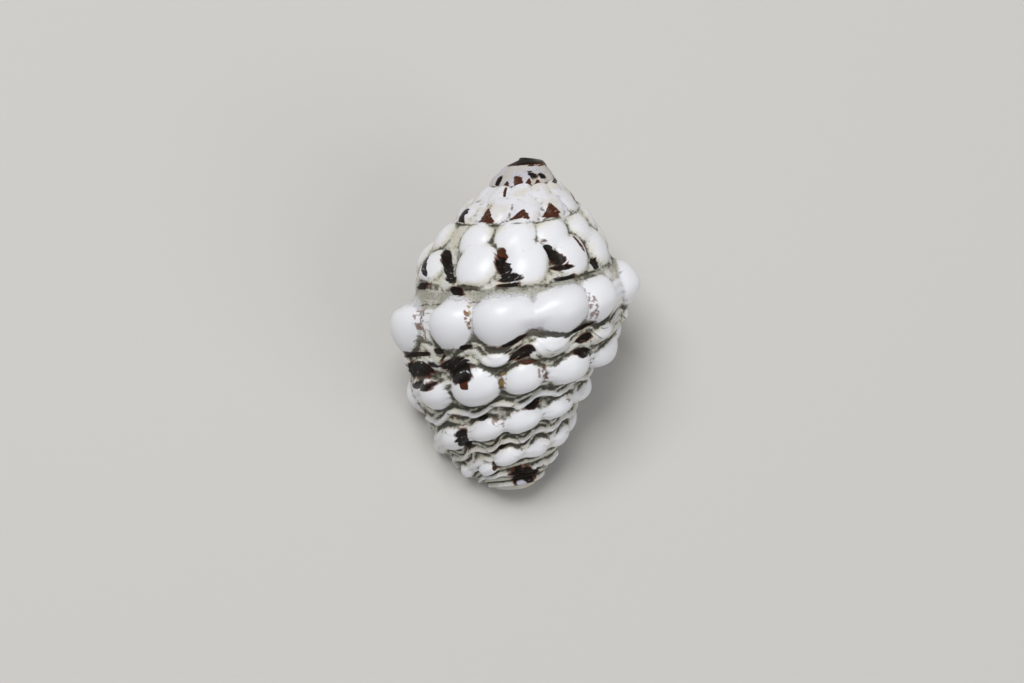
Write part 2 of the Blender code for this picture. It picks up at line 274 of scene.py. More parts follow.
@dataclass(frozen=True)
class Coil:
    """How the bare wall of the shell coils round its axis.

    Lengths are in millimetres, growth is for one turn, and the spans over which the wall changes are in turns.
    """

    growth: float = 1.66
    depth_growth: float = 2.08
    suture_depth: float = 10.3
    suture_radius: float = 8.3
    last_spread: float = 0.5
    last_drop: float = 0.4
    apex_bluntness: float = 0.15
    blunt_depths: tuple[float, float] = (2.4, 5.0)
    spire_dip: tuple[float, float] = (0.55, 0.36)
    dip_starts: tuple[float, float] = (0.35, 0.8)
    dip_fades: tuple[float, float] = (-3.0, -1.0)
    bulge: float = 0.15
    adult_from: float = -0.74
    adult_to: float = -0.36
    wall_adult_earlier: float = 0.2
    ribs: int = 10
    first_rib_turn: float = 0.0236
    rib_wander_deg: tuple[float, ...] = (0.0, -3.5, 0.0, 3.0, 2.0, 0.0, 5.0, 9.5, 10.5, 6.5)
    rib_size: tuple[float, ...] = (1.12, 0.97, 0.88, 0.98, 1.04, 0.97, 1.0, 0.98, 0.98, 1.0)
    apex_rib: float = -36.0
    lip_rib: float = 2.75
    next_suture: float = 7.5
    last_station: float = 20.3
    canal_end: float = 28.65
    free_span: float = 0.5
    joint_reach: float = 1.2
    columella_span: float = 0.3
    outline_from: float = 0.3
    outline_points: int = 160
    columella: tuple[tuple[float, float], ...] = (
        (0.0, 1.0),
        (0.1, 0.93),
        (0.24, 0.66),
        (0.36, 0.42),
        (0.5, 0.29),
        (0.7, 0.24),
        (1.0, 0.18),
    )
    levels: tuple[Level, ...] = (
        Level(0.0, 10.3, 8.3, 1.0, 1.0),
        Level(0.5, 10.7, 8.2, 0.85, 0.6),
        Level(2.35, 12.55, 8.5, 0.82, 0.45),
        Level(5.65, 15.85, 8.75, 0.82, 0.4),
        Level(8.45, 18.3, 7.4, 0.82, 0.65),
        Level(10.9, 20.5, 6.35, 0.78, 0.75),
        Level(12.6, 22.0, 5.55, 0.75, 0.6),
        Level(14.65, 23.85, 4.65, 0.6, 0.1),
        Level(16.2, 25.2, 3.85, 0.45, -0.4),
        Level(18.3, 26.95, 2.75, 0.2, -0.3),
        Level(20.3, 28.4, 1.4, 0.05, 0.0),
    )

    def between_ribs(self, values: tuple[float, ...], rib: np.ndarray) -> np.ndarray:
        """Eases a value given for each rib of a turn from one rib to the next.

        Args:
            values: One value to a rib.
            rib: Rib numbers, whole at a rib's middle.

        Returns:
            The value at each rib number.
        """
        table = np.array(values)
        before = np.floor(rib).astype(int)
        share = smooth_step(rib - before, 0.0, 1.0)
        return table[before % self.ribs] * (1.0 - share) + table[(before + 1) % self.ribs] * share

    def turn_of(self, rib: np.ndarray) -> np.ndarray:
        """Turns of growth at rib numbers.

        Args:
            rib: Rib numbers.

        Returns:
            Turns, with each rib a little off its even place.
        """
        return self.first_rib_turn + rib / self.ribs + self.between_ribs(self.rib_wander_deg, rib) / 360.0

    @property
    def lip_turn(self) -> float:
        """Turn of the outer lip."""
        return float(self.turn_of(np.array(self.lip_rib)))

    def suture(self, turn: np.ndarray) -> tuple[np.ndarray, np.ndarray]:
        """Place of the suture, which in the spire dips a little on the side of the back.

        Args:
            turn: Turns of growth.

        Returns:
            Its depth and its radius.
        """
        size, deep = self.growth**turn, self.depth_growth**turn
        depth = self.suture_depth * np.where(deep > 1.0, 1.0 + self.last_drop * (deep - 1.0), deep)
        spread = np.where(size > 1.0, 1.0 + self.last_spread * (size - 1.0), size)
        blunt = 1.0 - self.apex_bluntness * (1.0 - smooth_step(depth, *self.blunt_depths))
        gone, whole = self.dip_fades
        dip = smooth_step(-turn, *self.dip_starts) * np.clip((turn - gone) / (whole - gone), 0.0, 1.0)
        dip = dip * (1.0 + np.cos(2 * np.pi * turn)) / 2
        radius = self.suture_radius * spread * blunt
        return depth + self.spire_dip[0] * dip, radius + self.spire_dip[1] * dip

    def through_levels(self, station: np.ndarray, values: np.ndarray) -> np.ndarray:
        """Draws a smooth curve through one value for each level of the wall.

        Args:
            station: Stations along the wall.
            values: Values, one row to a level and one column to a station.

        Returns:
            The curve's value at each station.
        """
        at = np.array([level.station for level in self.levels])
        slope = np.gradient(values, at, axis=0)
        k = np.clip(np.searchsorted(at, station, side="right") - 1, 0, len(at) - 2)
        gap = at[k + 1] - at[k]
        x = (station - at[k]) / gap
        column = np.arange(values.shape[1])
        low, high = values[k, column], values[k + 1, column]
        rise_low, rise_high = slope[k, column] * gap, slope[k + 1, column] * gap
        return (
            low * (2 * x**3 - 3 * x**2 + 1)
            + high * (3 * x**2 - 2 * x**3)
            + rise_low * (x**3 - 2 * x**2 + x)
            + rise_high * (x**3 - x**2)
        )

    def columella_radius(self, turn: np.ndarray, depth: np.ndarray) -> np.ndarray:
        """Radius of the inner side of the aperture, one turn after the given one.

        Args:
            turn: Turns of growth.
            depth: Depths down the axis.

        Returns:
            The radii.
        """
        top, radius = self.suture(turn + 1.0)
        at, ratio = np.array(self.columella).T
        return radius * np.interp((depth - top) / (self.canal_end - top), at, ratio)

    def wall(self, turn: np.ndarray, station: np.ndarray) -> tuple[np.ndarray, np.ndarray]:
        """Place of the bare wall.

        Args:
            turn: Turns of growth.
            station: As many stations.

        Returns:
            Depths and radii.
        """
        size, deep = self.growth**turn, self.depth_growth**turn
        depths = np.array([lv.depth * (1 + lv.depth_share * (deep - 1)) for lv in self.levels])
        radii = np.array([lv.radius * (1 + lv.radius_share * (size - 1)) for lv in self.levels])
        top_depth, top_radius = self.suture(turn)
        depths[0], radii[0] = top_depth, top_radius
        depth, radius = self.through_levels(station, depths), self.through_levels(station, radii)

        foot_depth, foot_radius = self.suture(turn + 1.0)
        down = np.minimum(station / self.next_suture, 1.0)
        swell = self.bulge * size * 4.0 * down * (1.0 - down)
        spire_depth = top_depth + down * (foot_depth - top_depth)
        spire_radius = top_radius + down * (foot_radius - top_radius) + swell

        first_free = self.lip_turn - 1.0
        adult = smooth_step(turn, self.adult_from - self.wall_adult_earlier, self.adult_to)
        free = smooth_step(turn, first_free, first_free + self.free_span)
        joint = np.full_like(station, self.next_suture)
        joint_depth, joint_radius = self.through_levels(joint, depths), self.through_levels(joint, radii)
        past = np.maximum(station - self.next_suture, 0.0)
        fade = np.exp(-past / self.joint_reach) * down**2 * (1 - free)
        depth = depth + fade * (foot_depth - joint_depth)
        radius = radius + fade * (foot_radius - joint_radius)
        above = station <= self.next_suture
        depth = np.where(above, spire_depth + adult * (depth - spire_depth), depth)
        radius = np.where(above, spire_radius + adult * (radius - spire_radius), radius)
        inner = 1.0 - smooth_step(turn, first_free, first_free + self.columella_span)
        narrow = np.minimum(self.columella_radius(turn, depth), radius)
        return depth, np.where(above, radius, radius + inner * (narrow - radius))

    def radius_at_depth(self, turn: float, depth: np.ndarray) -> np.ndarray:
        """Radius of the bare wall where it crosses given depths.

        Args:
            turn: One turn of growth.
            depth: Depths down the axis.

        Returns:
            The radii.
        """
        stations = np.linspace(self.outline_from, self.last_station, self.outline_points)
        depths, radii = self.wall(np.full_like(stations, turn), stations)
        order = np.argsort(depths)
        return np.interp(depth, depths[order], radii[order])

    def place(self, turn: np.ndarray, depth: np.ndarray, radius: np.ndarray) -> np.ndarray:
        """Points of the shell's own frame, where growth turns clockwise as seen from the apex.

        Args:
            turn: Turns of growth.
            depth: Depths down the axis.
            radius: Radii from the axis.

        Returns:
            Points in millimetres.
        """
        angle = -2.0 * math.pi * turn
        return np.stack([radius * np.cos(angle), radius * np.sin(angle), -depth], axis=-1)

    def bare_point(self, rib: np.ndarray, station: np.ndarray) -> np.ndarray:
        """Points of the bare wall.

        Args:
            rib: Rib numbers.
            station: As many stations.

        Returns:
            Points in millimetres.
        """
        turn = self.turn_of(rib)
        return self.place(turn, *self.wall(turn, station))

    def wall_frame(
        self, rib: np.ndarray, station: np.ndarray
    ) -> tuple[np.ndarray, np.ndarray, np.ndarray]:
        """The bare wall with its outward direction.

        Args:
            rib: Rib numbers.
            station: As many stations.

        Returns:
            Points, unit vectors that point out of the wall, and the length of one rib in millimetres.
        """
        step = 0.01
        point = self.bare_point(rib, station)
        along = (self.bare_point(rib + step, station) - self.bare_point(rib - step, station)) / (2 * step)
        start = np.maximum(station - step, 0.0)
        across = self.bare_point(rib, start + 2 * step) - self.bare_point(rib, start)
        normal = np.cross(along, across)
        normal /= np.linalg.norm(normal, axis=-1, keepdims=True)
        normal *= np.sign(np.sum(normal * point * [1.0, 1.0, 0.0], axis=-1, keepdims=True))
        return point, normal, np.linalg.norm(along, axis=-1)


@dataclass(frozen=True)
class Sculpture:
    """Raises the knobs, cords and threads of the wall with a Geometry Nodes tree.

    Sizes are in millimetres. Threads fade where a knob or cord rises from the first to the second of two
    heights.
    """

    rows: tuple[KnobRow, ...]
    cords: tuple[Cord, ...]
    dome_power: float = 0.66
    dome_foot: float = 0.012
    thread_height: float = 0.055
    threads_fade: tuple[float, float] = (0.25, 0.9)

    def sizes(self) -> dict[str, float]:
        """Lists the tree's inputs.

        Returns:
            Input names and their values.
        """
        found = {
            "Dome Power": self.dome_power,
            "Dome Foot": self.dome_foot,
            "Thread Height": self.thread_height,
            "Metres In A Millimetre": MM,
        }
        for row in self.rows:
            for size in ("half_along", "half_across", "height"):
                found[f"{row.name} knob {size.replace('_', ' ')}"] = getattr(row, size)
        for cord in self.cords:
            for size in ("station", "half_across", "height", "wave", "phase"):
                found[f"{cord.name} cord {size.replace('_', ' ')}"] = getattr(cord, size)
        return found

    def knobs(self, tree: bpy.types.NodeTree, given: bpy.types.Node, whorls: Whorls) -> bpy.types.Node:
        """Adds the knobs of one kind of whorl together, so that neighbours run into each other softly.

        Args:
            tree: Tree to add to.
            given: Its input node.
            whorls: Which whorls' rows to take.

        Returns:
            The node that gives their height.
        """
        total = None
        for number, row in enumerate(self.rows):
            if row.whorls is not whorls:
                continue
            size, *aways = (
                add(tree, "GeometryNodeInputNamedAttribute", {"Name": name}, data_type="FLOAT")
                for name in (f"size_{number}", f"along_{number}", f"across_{number}")
            )
            squares = []
            for way, away in zip(("along", "across"), aways):
                full = {0: given.outputs[f"{row.name} knob half {way}"], 1: size}
                full = add(tree, "ShaderNodeMath", full, operation="MULTIPLY")
                ratio = add(tree, "ShaderNodeMath", {0: away, 1: full}, operation="DIVIDE")
                squares.append(add(tree, "ShaderNodeMath", {0: ratio, 1: ratio}, operation="MULTIPLY"))
            reach = add(tree, "ShaderNodeMath", dict(enumerate(squares)), operation="ADD")
            left = add(tree, "ShaderNodeMath", {0: 1.0, 1: reach}, operation="SUBTRACT")
            foot = {0: left, 1: left, 2: given.outputs["Dome Foot"]}
            foot = add(tree, "ShaderNodeMath", foot, operation="MULTIPLY_ADD")
            foot = add(tree, "ShaderNodeMath", {0: foot, 1: 0.5}, operation="POWER")
            left = add(tree, "ShaderNodeMath", {0: left, 1: foot}, operation="ADD")
            left = add(tree, "ShaderNodeMath", {0: left, 1: 0.5}, operation="MULTIPLY")
            dome = add(tree, "ShaderNodeMath", {0: left, 1: given.outputs["Dome Power"]}, operation="POWER")
            tall = {0: given.outputs[f"{row.name} knob height"], 1: size}
            tall = add(tree, "ShaderNodeMath", tall, operation="MULTIPLY")
            tall = add(tree, "ShaderNodeMath", {0: tall, 1: dome}, operation="MULTIPLY")
            cube = add(tree, "ShaderNodeMath", {0: tall, 1: 3.0}, operation="POWER")
            both = {0: total, 1: cube}
            total = cube if total is None else add(tree, "ShaderNodeMath", both, operation="ADD")
        return add(tree, "ShaderNodeMath", {0: total, 1: 1 / 3}, operation="POWER")

    def ridges(self, tree: bpy.types.NodeTree, given: bpy.types.Node) -> bpy.types.Node:
        """Raises the cords, each of which can swing up and down once to a rib.

        Args:
            tree: Tree to add to.
            given: Its input node.

        Returns:
            The node that gives their height.
        """
        rib, station = (
            add(tree, "GeometryNodeInputNamedAttribute", {"Name": name}, data_type="FLOAT")
            for name in ("rib", "station")
        )
        highest = None
        for cord in self.cords:
            names = ("station", "half across", "height", "wave", "phase")
            sizes = {name: given.outputs[f"{cord.name} cord {name}"] for name in names}
            phase = add(tree, "ShaderNodeMath", {0: rib, 1: sizes["phase"]}, operation="SUBTRACT")
            phase = add(tree, "ShaderNodeMath", {0: phase, 1: 2 * math.pi}, operation="MULTIPLY")
            swing = add(tree, "ShaderNodeMath", {0: phase}, operation="COSINE")
            middle = {0: swing, 1: sizes["wave"], 2: sizes["station"]}
            middle = add(tree, "ShaderNodeMath", middle, operation="MULTIPLY_ADD")
            away = add(tree, "ShaderNodeMath", {0: station, 1: middle}, operation="SUBTRACT")
            ratio = add(tree, "ShaderNodeMath", {0: away, 1: sizes["half across"]}, operation="DIVIDE")
            square = add(tree, "ShaderNodeMath", {0: ratio, 1: ratio}, operation="MULTIPLY")
            left = add(tree, "ShaderNodeMath", {0: 1.0, 1: square}, operation="SUBTRACT")
            left = add(tree, "ShaderNodeMath", {0: left, 1: 0.0}, operation="MAXIMUM")
            tall = add(tree, "ShaderNodeMath", {0: left, 1: sizes["height"]}, operation="MULTIPLY")
            top = {0: highest, 1: tall}
            highest = tall if highest is None else add(tree, "ShaderNodeMath", top, operation="MAXIMUM")
        return highest

    def tree(self) -> bpy.types.NodeTree:
        """Builds the tree that lifts the wall and gives it its two finishes.

        Returns:
            The tree.
        """
        tree = bpy.data.node_groups.new("shell_sculpture", "GeometryNodeTree")
        tree.interface.new_socket("Geometry", in_out="INPUT", socket_type="NodeSocketGeometry")
        tree.interface.new_socket("Geometry", in_out="OUTPUT", socket_type="NodeSocketGeometry")
        for name in self.sizes():
            tree.interface.new_socket(name, in_out="INPUT", socket_type="NodeSocketFloat")
        for name in ("Outside", "Inside"):
            tree.interface.new_socket(name, in_out="INPUT", socket_type="NodeSocketMaterial")
        given = add(tree, "NodeGroupInput")
        adult, share, threads = (
            add(tree, "GeometryNodeInputNamedAttribute", {"Name": name}, data_type="FLOAT")
            for name in ("adult", "raised_share", "threads")
        )
        spire, knobs = self.knobs(tree, given, Whorls.SPIRE), self.knobs(tree, given, Whorls.LAST)
        cords = self.ridges(tree, given)
        squares = [
            add(tree, "ShaderNodeMath", {0: part, 1: part}, operation="MULTIPLY") for part in (knobs, cords)
        ]
        square = add(tree, "ShaderNodeMath", dict(enumerate(squares)), operation="ADD")
        body = add(tree, "ShaderNodeMath", {0: square, 1: 0.5}, operation="POWER")
        wide = add(tree, "ShaderNodeMix", {"Factor": adult, 2: spire, 3: body})
        phase = add(tree, "ShaderNodeMath", {0: threads, 1: 2 * math.pi}, operation="MULTIPLY")
        wave = add(tree, "ShaderNodeMath", {0: phase}, operation="COSINE")
        low, high = self.threads_fade
        bare = {"Value": wide, "From Min": low, "From Max": high, "To Min": 1.0, "To Max": 0.0}
        bare = add(tree, "ShaderNodeMapRange", bare)
        bare = add(tree, "ShaderNodeMath", {0: bare, 1: adult}, operation="MULTIPLY")
        wave = add(tree, "ShaderNodeMath", {0: wave, 1: bare}, operation="MULTIPLY")
        fine = {0: wave, 1: given.outputs["Thread Height"], 2: wide}
        height = add(tree, "ShaderNodeMath", fine, operation="MULTIPLY_ADD")
        height = add(tree, "ShaderNodeMath", {0: height, 1: share}, operation="MULTIPLY")
        metres = {0: height, 1: given.outputs["Metres In A Millimetre"]}
        metres = add(tree, "ShaderNodeMath", metres, operation="MULTIPLY")
        outward = {"Name": "outward"}
        outward = add(tree, "GeometryNodeInputNamedAttribute", outward, data_type="FLOAT_VECTOR")
        lift = add(tree, "ShaderNodeVectorMath", {0: outward, "Scale": metres}, operation="SCALE")
        moved = {"Geometry": given.outputs["Geometry"], "Offset": lift}
        moved = add(tree, "GeometryNodeSetPosition", moved)
        kept = {"Geometry": moved, "Name": "relief", "Value": height}
        kept = add(tree, "GeometryNodeStoreNamedAttribute", kept)
        real = add(tree, "GeometryNodeRealizeInstances", {"Geometry": kept})
        outside = {"Geometry": real, "Material": given.outputs["Outside"]}
        outside = add(tree, "GeometryNodeSetMaterial", outside)
        within = add(tree, "GeometryNodeInputNamedAttribute", {"Name": "inside"}, data_type="BOOLEAN")
        inside = {"Geometry": outside, "Selection": within, "Material": given.outputs["Inside"]}
        inside = add(tree, "GeometryNodeSetMaterial", inside)
        add(tree, "NodeGroupOutput", {"Geometry": inside})
        return tree

    def put_on(
        self, piece: bpy.types.Object, outside: bpy.types.Material, inside: bpy.types.Material
    ) -> None:
        """Puts the tree on a piece, with its inputs set by the identifiers of their sockets.

        Args:
            piece: The bare shell.
            outside: Finish of the outside.
            inside: Finish of the aperture.
        """
        values = self.sizes() | {"Outside": outside, "Inside": inside}
        modifier = piece.modifiers.new("shell_sculpture", "NODES")
        modifier.node_group = self.tree()
        for item in modifier.node_group.interface.items_tree:
            if item.in_out == "INPUT" and item.name in values:
                modifier[item.identifier] = values[item.name]


@dataclass(frozen=True)
class Markings:
    """Dark bars and stains between the knobs, and the threads that weave round the larger knobs.

    Repeats drift by some ribs and stations, and by a share of their size.
    """

    seed: int = 4
    most_repeats: int = 3
    rib_drift: float = 0.08
    station_drift: float = 0.2
    size_drift: tuple[float, float] = (0.8, 1.2)
    narrowest: float = 0.1
    threads_per_station: float = 1.3
    weave: float = 0.5
    woven_round: float = 0.9
    early_ribs: tuple[float, float] = (-22.0, -27.0)
    worn_ribs: tuple[float, float] = (-15.5, -18.5)
    placed: tuple[Mark, ...] = (
        # last whorl: waist
        Mark(Tint.INK, 0.79, 6.05, 0.27, 1.00, -0.08, -0.25),
        Mark(Tint.RUST, 0.64, 6.86, 0.11, 0.36, -0.05),
        Mark(Tint.INK, 1.12, 4.62, 0.12, 0.28, -0.04),
        Mark(Tint.INK, 0.63, 4.40, 0.11, 0.19, 0.11),
        Mark(Tint.INK, -0.29, 5.30, 0.26, 0.57, 0.09),
        Mark(Tint.INK, -0.17, 4.27, 0.09, 0.43, 0.47),
        Mark(Tint.RUST, -0.44, 6.16, 0.22, 0.19, -0.41),
        Mark(Tint.INK, -1.47, 5.08, 0.18, 0.41, 0.09),
        Mark(Tint.INK, -1.50, 6.32, 0.17, 0.35, -0.38),
        Mark(Tint.INK, -1.42, 4.09, 0.17, 0.28, 0.64),
        Mark(Tint.INK, 1.75, 4.78, 0.45, 0.20, 0.13),
        Mark(Tint.INK, 1.70, 5.95, 0.52, 0.62, 0.10),
        Mark(Tint.INK, 1.70, 7.15, 0.48, 0.24, 0.30),
        Mark(Tint.INK, 1.05, 5.09, 0.05, 0.30, 0.12),
        # last whorl: between the shoulder knobs
        Mark(Tint.SPOTS, -1.51, 2.60, 0.07, 1.30, -0.06),
        Mark(Tint.SPOTS, 1.50, 2.46, 0.07, 1.50, -0.05),
        Mark(Tint.OCHRE, 0.53, 2.30, 0.045, 1.40, -0.06),
        Mark(Tint.SPOTS, 0.53, 2.60, 0.035, 1.20, -0.06),
        # last whorl: below the waist
        Mark(Tint.OCHRE, 0.02, 7.60, 0.06, 0.75, 0.03),
        Mark(Tint.SPOTS, -0.75, 7.55, 0.10, 0.99, -0.07),
        Mark(Tint.INK, -0.66, 10.67, 0.20, 0.40, 0.15),
        Mark(Tint.INK, 0.51, 10.94, 0.14, 0.17, -0.18),
        Mark(Tint.SPOTS, 0.20, 11.47, 0.10, 0.33, -0.30),
        Mark(Tint.SPOTS, 1.16, 10.34, 0.14, 0.35, 0.11),
        Mark(Tint.SPOTS, -1.55, 11.18, 0.12, 0.30, -0.14),
        Mark(Tint.INK, 1.12, 12.45, 0.14, 1.05, 0.04),
        Mark(Tint.INK, 0.15, 14.32, 0.17, 0.19, 0.34),
        Mark(Tint.RUST, 0.55, 16.10, 0.09, 0.70, 0.03),
        Mark(Tint.INK, -0.85, 18.40, 0.80, 1.15, -0.15),
        Mark(Tint.CHALK, -0.81, 19.35, 0.40, 0.50, -0.45),
        # whorl above it
        Mark(Tint.INK, -8.75, 5.20, 0.11, 2.35, -0.11),
        Mark(Tint.INK, 0.91, 0.22, 0.13, 0.23, -0.17),
        Mark(Tint.RUST, -9.85, 3.65, 0.11, 0.75, -0.08),
        Mark(Tint.INK, -9.91, 5.15, 0.13, 1.40, -0.08),
        Mark(Tint.INK, -10.01, 6.42, 0.21, 0.40, -0.12),
        Mark(Tint.INK, -10.00, 7.29, 0.20, 0.32, 0.11),
        Mark(Tint.INK, -10.95, 4.05, 0.12, 1.60, -0.12),
        Mark(Tint.INK, -11.12, 5.95, 0.16, 0.36, -0.29),
        Mark(Tint.INK, -11.12, 7.18, 0.21, 0.31, -0.23),
        Mark(Tint.RUST, -11.65, 3.75, 0.07, 1.35, -0.05),
        Mark(Tint.INK, -11.96, 6.42, 0.09, 0.82, -0.04),
        Mark(Tint.INK, -8.30, 5.55, 0.09, 1.50, -0.10),
        Mark(Tint.INK, 1.73, 0.11, 0.21, 0.15, 0.82),
        # spire
        Mark(Tint.INK, -18.38, 6.39, 0.13, 1.45, -0.03),
        Mark(Tint.RUST, -19.15, 6.20, 0.21, 1.90, -0.05, 0.8),
        Mark(Tint.OCHRE, -19.13, 4.30, 0.10, 0.80, 0.0),
        Mark(Tint.RUST, -20.13, 6.20, 0.27, 1.30, 0.06, 0.8),
        Mark(Tint.RUST, -21.20, 5.90, 0.25, 1.90, 0.01, 0.8),
        Mark(Tint.INK, -22.41, 0.49, 0.31, 0.46, -0.04),
        Mark(Tint.RUST, -19.35, 1.20, 0.08, 1.00, -0.07),
        Mark(Tint.INK, -28.60, 5.40, 0.14, 2.10, -0.03),
        Mark(Tint.RUST, -29.85, 5.80, 0.27, 2.60, -0.05),
        Mark(Tint.RUST, -29.20, 6.50, 0.15, 1.10, 0.0, 0.8),
        Mark(Tint.RUST, -30.45, 6.30, 0.20, 1.50, 0.05, 0.8),
        Mark(Tint.RUST, -31.05, 6.50, 0.16, 1.20, 0.0, 0.8),
        Mark(Tint.INK, -30.75, 3.60, 0.32, 1.50, -0.12),
        Mark(Tint.INK, -31.45, 4.60, 0.24, 1.20, -0.10),
    )
    rounds: tuple[Round, ...] = (
        Round(-1.8, 1.3, 3.0, -2.6, -7.25),
        Round(-12.2, -8.5, 4.0, -12.7, -17.5),
        Round(-21.5, -18.2, 4.0, -22.5, -28.0),
        Round(-31.6, -28.6, 4.0, -32.5, -36.0),
    )

    def all_marks(self) -> list[Mark]:
        """Repeats the placed markings over the rest of the shell, each a little off its place and size.

        Returns:
            The placed markings and the repeated ones.
        """
        chance, found = np.random.default_rng(self.seed), list(self.placed)
        for again in self.rounds:
            for mark in self.placed:
                if not again.first_rib <= mark.rib <= again.last_rib or mark.tint is Tint.CHALK:
                    continue
                for back in range(1, self.most_repeats + 1):
                    rib = mark.rib - back * again.every + chance.uniform(-self.rib_drift, self.rib_drift)
                    grown = chance.uniform(*self.size_drift, 2)
                    station = mark.station + chance.uniform(-self.station_drift, self.station_drift)
                    size = (mark.half_rib * grown[0], mark.half_station * grown[1])
                    if again.back_to < rib < again.again_from:
                        found.append(Mark(mark.tint, rib, station, *size, mark.lean, mark.widens))
        return found

    def fields(self, rib: np.ndarray, station: np.ndarray) -> dict[str, np.ndarray]:
        """Works out how deep in a marking each point is: 1 in the middle, 0 at the edge and less outside.

        Args:
            rib: Rib numbers.
            station: As many stations.

        Returns:
            Names of attributes and their values.
        """
        found = {tint.value: np.full_like(rib, -1.0) for tint in Tint}
        for mark in self.all_marks():
            down = station - mark.station
            width = np.maximum(1.0 + mark.widens * down / mark.half_station, self.narrowest)
            width = mark.half_rib * width
            along = np.abs(rib - mark.rib - mark.lean * down) / width
            reach = np.cbrt(along**3 + np.abs(down / mark.half_station) ** 3)
            found[mark.tint.value] = np.maximum(found[mark.tint.value], 1.0 - reach)
        for name, ribs in (("early", self.early_ribs), ("worn", self.worn_ribs)):
            found[name] = smooth_step(-rib, -ribs[0], -ribs[1])
        return found

    def threads(self, rows: tuple[KnobRow, ...], rib: np.ndarray, station: np.ndarray) -> np.ndarray:
        """Counts threads down the wall, which bend round the knobs above and below them.

        Args:
            rows: Rows of knobs.
            rib: Rib numbers.
            station: As many stations.

        Returns:
            Thread numbers, whole on a thread and half between two.
        """
        last = [row for row in rows if row.whorls is Whorls.LAST and row.size == 1.0]
        large = [row for row in last if row.half_across > self.woven_round]
        push = np.zeros_like(station)
        to_one = 27 / 4  # the peak of x (1 - x)^2 is 4 / 27
        for above, below in zip(large, large[1:]):
            share = np.clip((station - above.station) / (below.station - above.station), 0.0, 1.0)
            push += to_one * share * (1 - share) ** 2 * np.cos(2 * np.pi * (rib - above.shift))
            push -= to_one * share**2 * (1 - share) * np.cos(2 * np.pi * (rib - below.shift))
        return (station - self.weave * push) * self.threads_per_station


@dataclass(frozen=True)
class Coat:
    """One layer of colour over the ones before it.

    It follows a signal, and starts and is full at two values of it. The noise that its edge names shifts it
    by as much as ragged says. It is of some strength, and lies only within other signals.
    """

    name: str
    colour: str
    follows: str
    starts: float
    full: float
    ragged: float = 0.0
    strength: float = 1.0
    within: tuple[str, ...] = ()
    edge: str = "grain"


@dataclass(frozen=True)
class Finish:
    """A finish of coats over a base colour.

    Grain sizes are in millimetres, and the pairs say at which values of their noise patches, broken edges
    and specks start and are full.
    """

    name: str
    base: str
    coats: tuple[Coat, ...]
    grain_mm: float = 0.35
    patch_mm: float = 1.6
    speck_mm: float = 0.12
    patches_at: tuple[float, float] = (0.42, 0.58)
    broken_at: tuple[float, float] = (0.46, 0.54)
    specks_at: tuple[float, float] = (0.56, 0.66)
    ior: float = 1.53

    def signals(self, tree: bpy.types.NodeTree, attributes: tuple[str, ...]) -> Signals:
        """Adds the nodes that the coats can follow.

        Args:
            tree: The material's tree.
            attributes: Names of the mesh attributes to read.

        Returns:
            Names of signals, and the nodes or sockets that give them.
        """
        place = add(tree, "ShaderNodeTexCoord").outputs["Object"]
        found = {}
        for name in attributes:
            reader = add(tree, "ShaderNodeAttribute", attribute_name=name, attribute_type="GEOMETRY")
            found[name] = reader.outputs["Fac"]
        for name, size, detail in (
            ("grain", self.grain_mm, 3.0),
            ("patch", self.patch_mm, 2.0),
            ("speck", self.speck_mm, 1.0),
        ):
            noise = {"Vector": place, "Scale": 1 / (size * MM), "Detail": detail}
            found[name] = add(tree, "ShaderNodeTexNoise", noise)
        for name, noise, (low, high), ease in (
            ("patches", "patch", self.patches_at, "SMOOTHSTEP"),
            ("broken", "grain", self.broken_at, "LINEAR"),
            ("specks", "speck", self.specks_at, "LINEAR"),
        ):
            limits = {"Value": found[noise], "From Min": low, "From Max": high}
            found[name] = add(tree, "ShaderNodeMapRange", limits, interpolation_type=ease)
        return found

    def paint(self, tree: bpy.types.NodeTree, signals: Signals) -> None:
        """Lays the coats on the base colour.

        Args:
            tree: The material's tree.
            signals: What the coats can follow.
        """
        shader, under = tree.nodes["Principled BSDF"], None
        for coat in self.coats:
            edge = add(tree, "ShaderNodeMath", {0: signals[coat.edge], 1: 0.5}, operation="SUBTRACT")
            ragged = {0: edge, 1: 2.0 * coat.ragged, 2: signals[coat.follows]}
            ragged = add(tree, "ShaderNodeMath", ragged, operation="MULTIPLY_ADD")
            low, high, strength = coat.starts, coat.full, (0.0, coat.strength)
            if low > high:
                low, high, strength = high, low, strength[::-1]
            share = {"Value": ragged, "From Min": low, "From Max": high}
            share |= {"To Min": strength[0], "To Max": strength[1]}
            share = add(tree, "ShaderNodeMapRange", share, interpolation_type="SMOOTHSTEP")
            for other in coat.within:
                share = add(tree, "ShaderNodeMath", {0: share, 1: signals[other]}, operation="MULTIPLY")
            under = linear(self.base) if under is None else under
            colours = {"Factor": share, 6: under, 7: linear(coat.colour)}
            under = add(tree, "ShaderNodeMix", colours, data_type="RGBA", label=coat.name).outputs[2]
        tree.links.new(under, shader.inputs["Base Color"])

    def start(self) -> bpy.types.Material:
        """Makes the material with its shader alone.

        Returns:
            The material.
        """
        made = bpy.data.materials.new(self.name)
        made.use_nodes = True
        return made


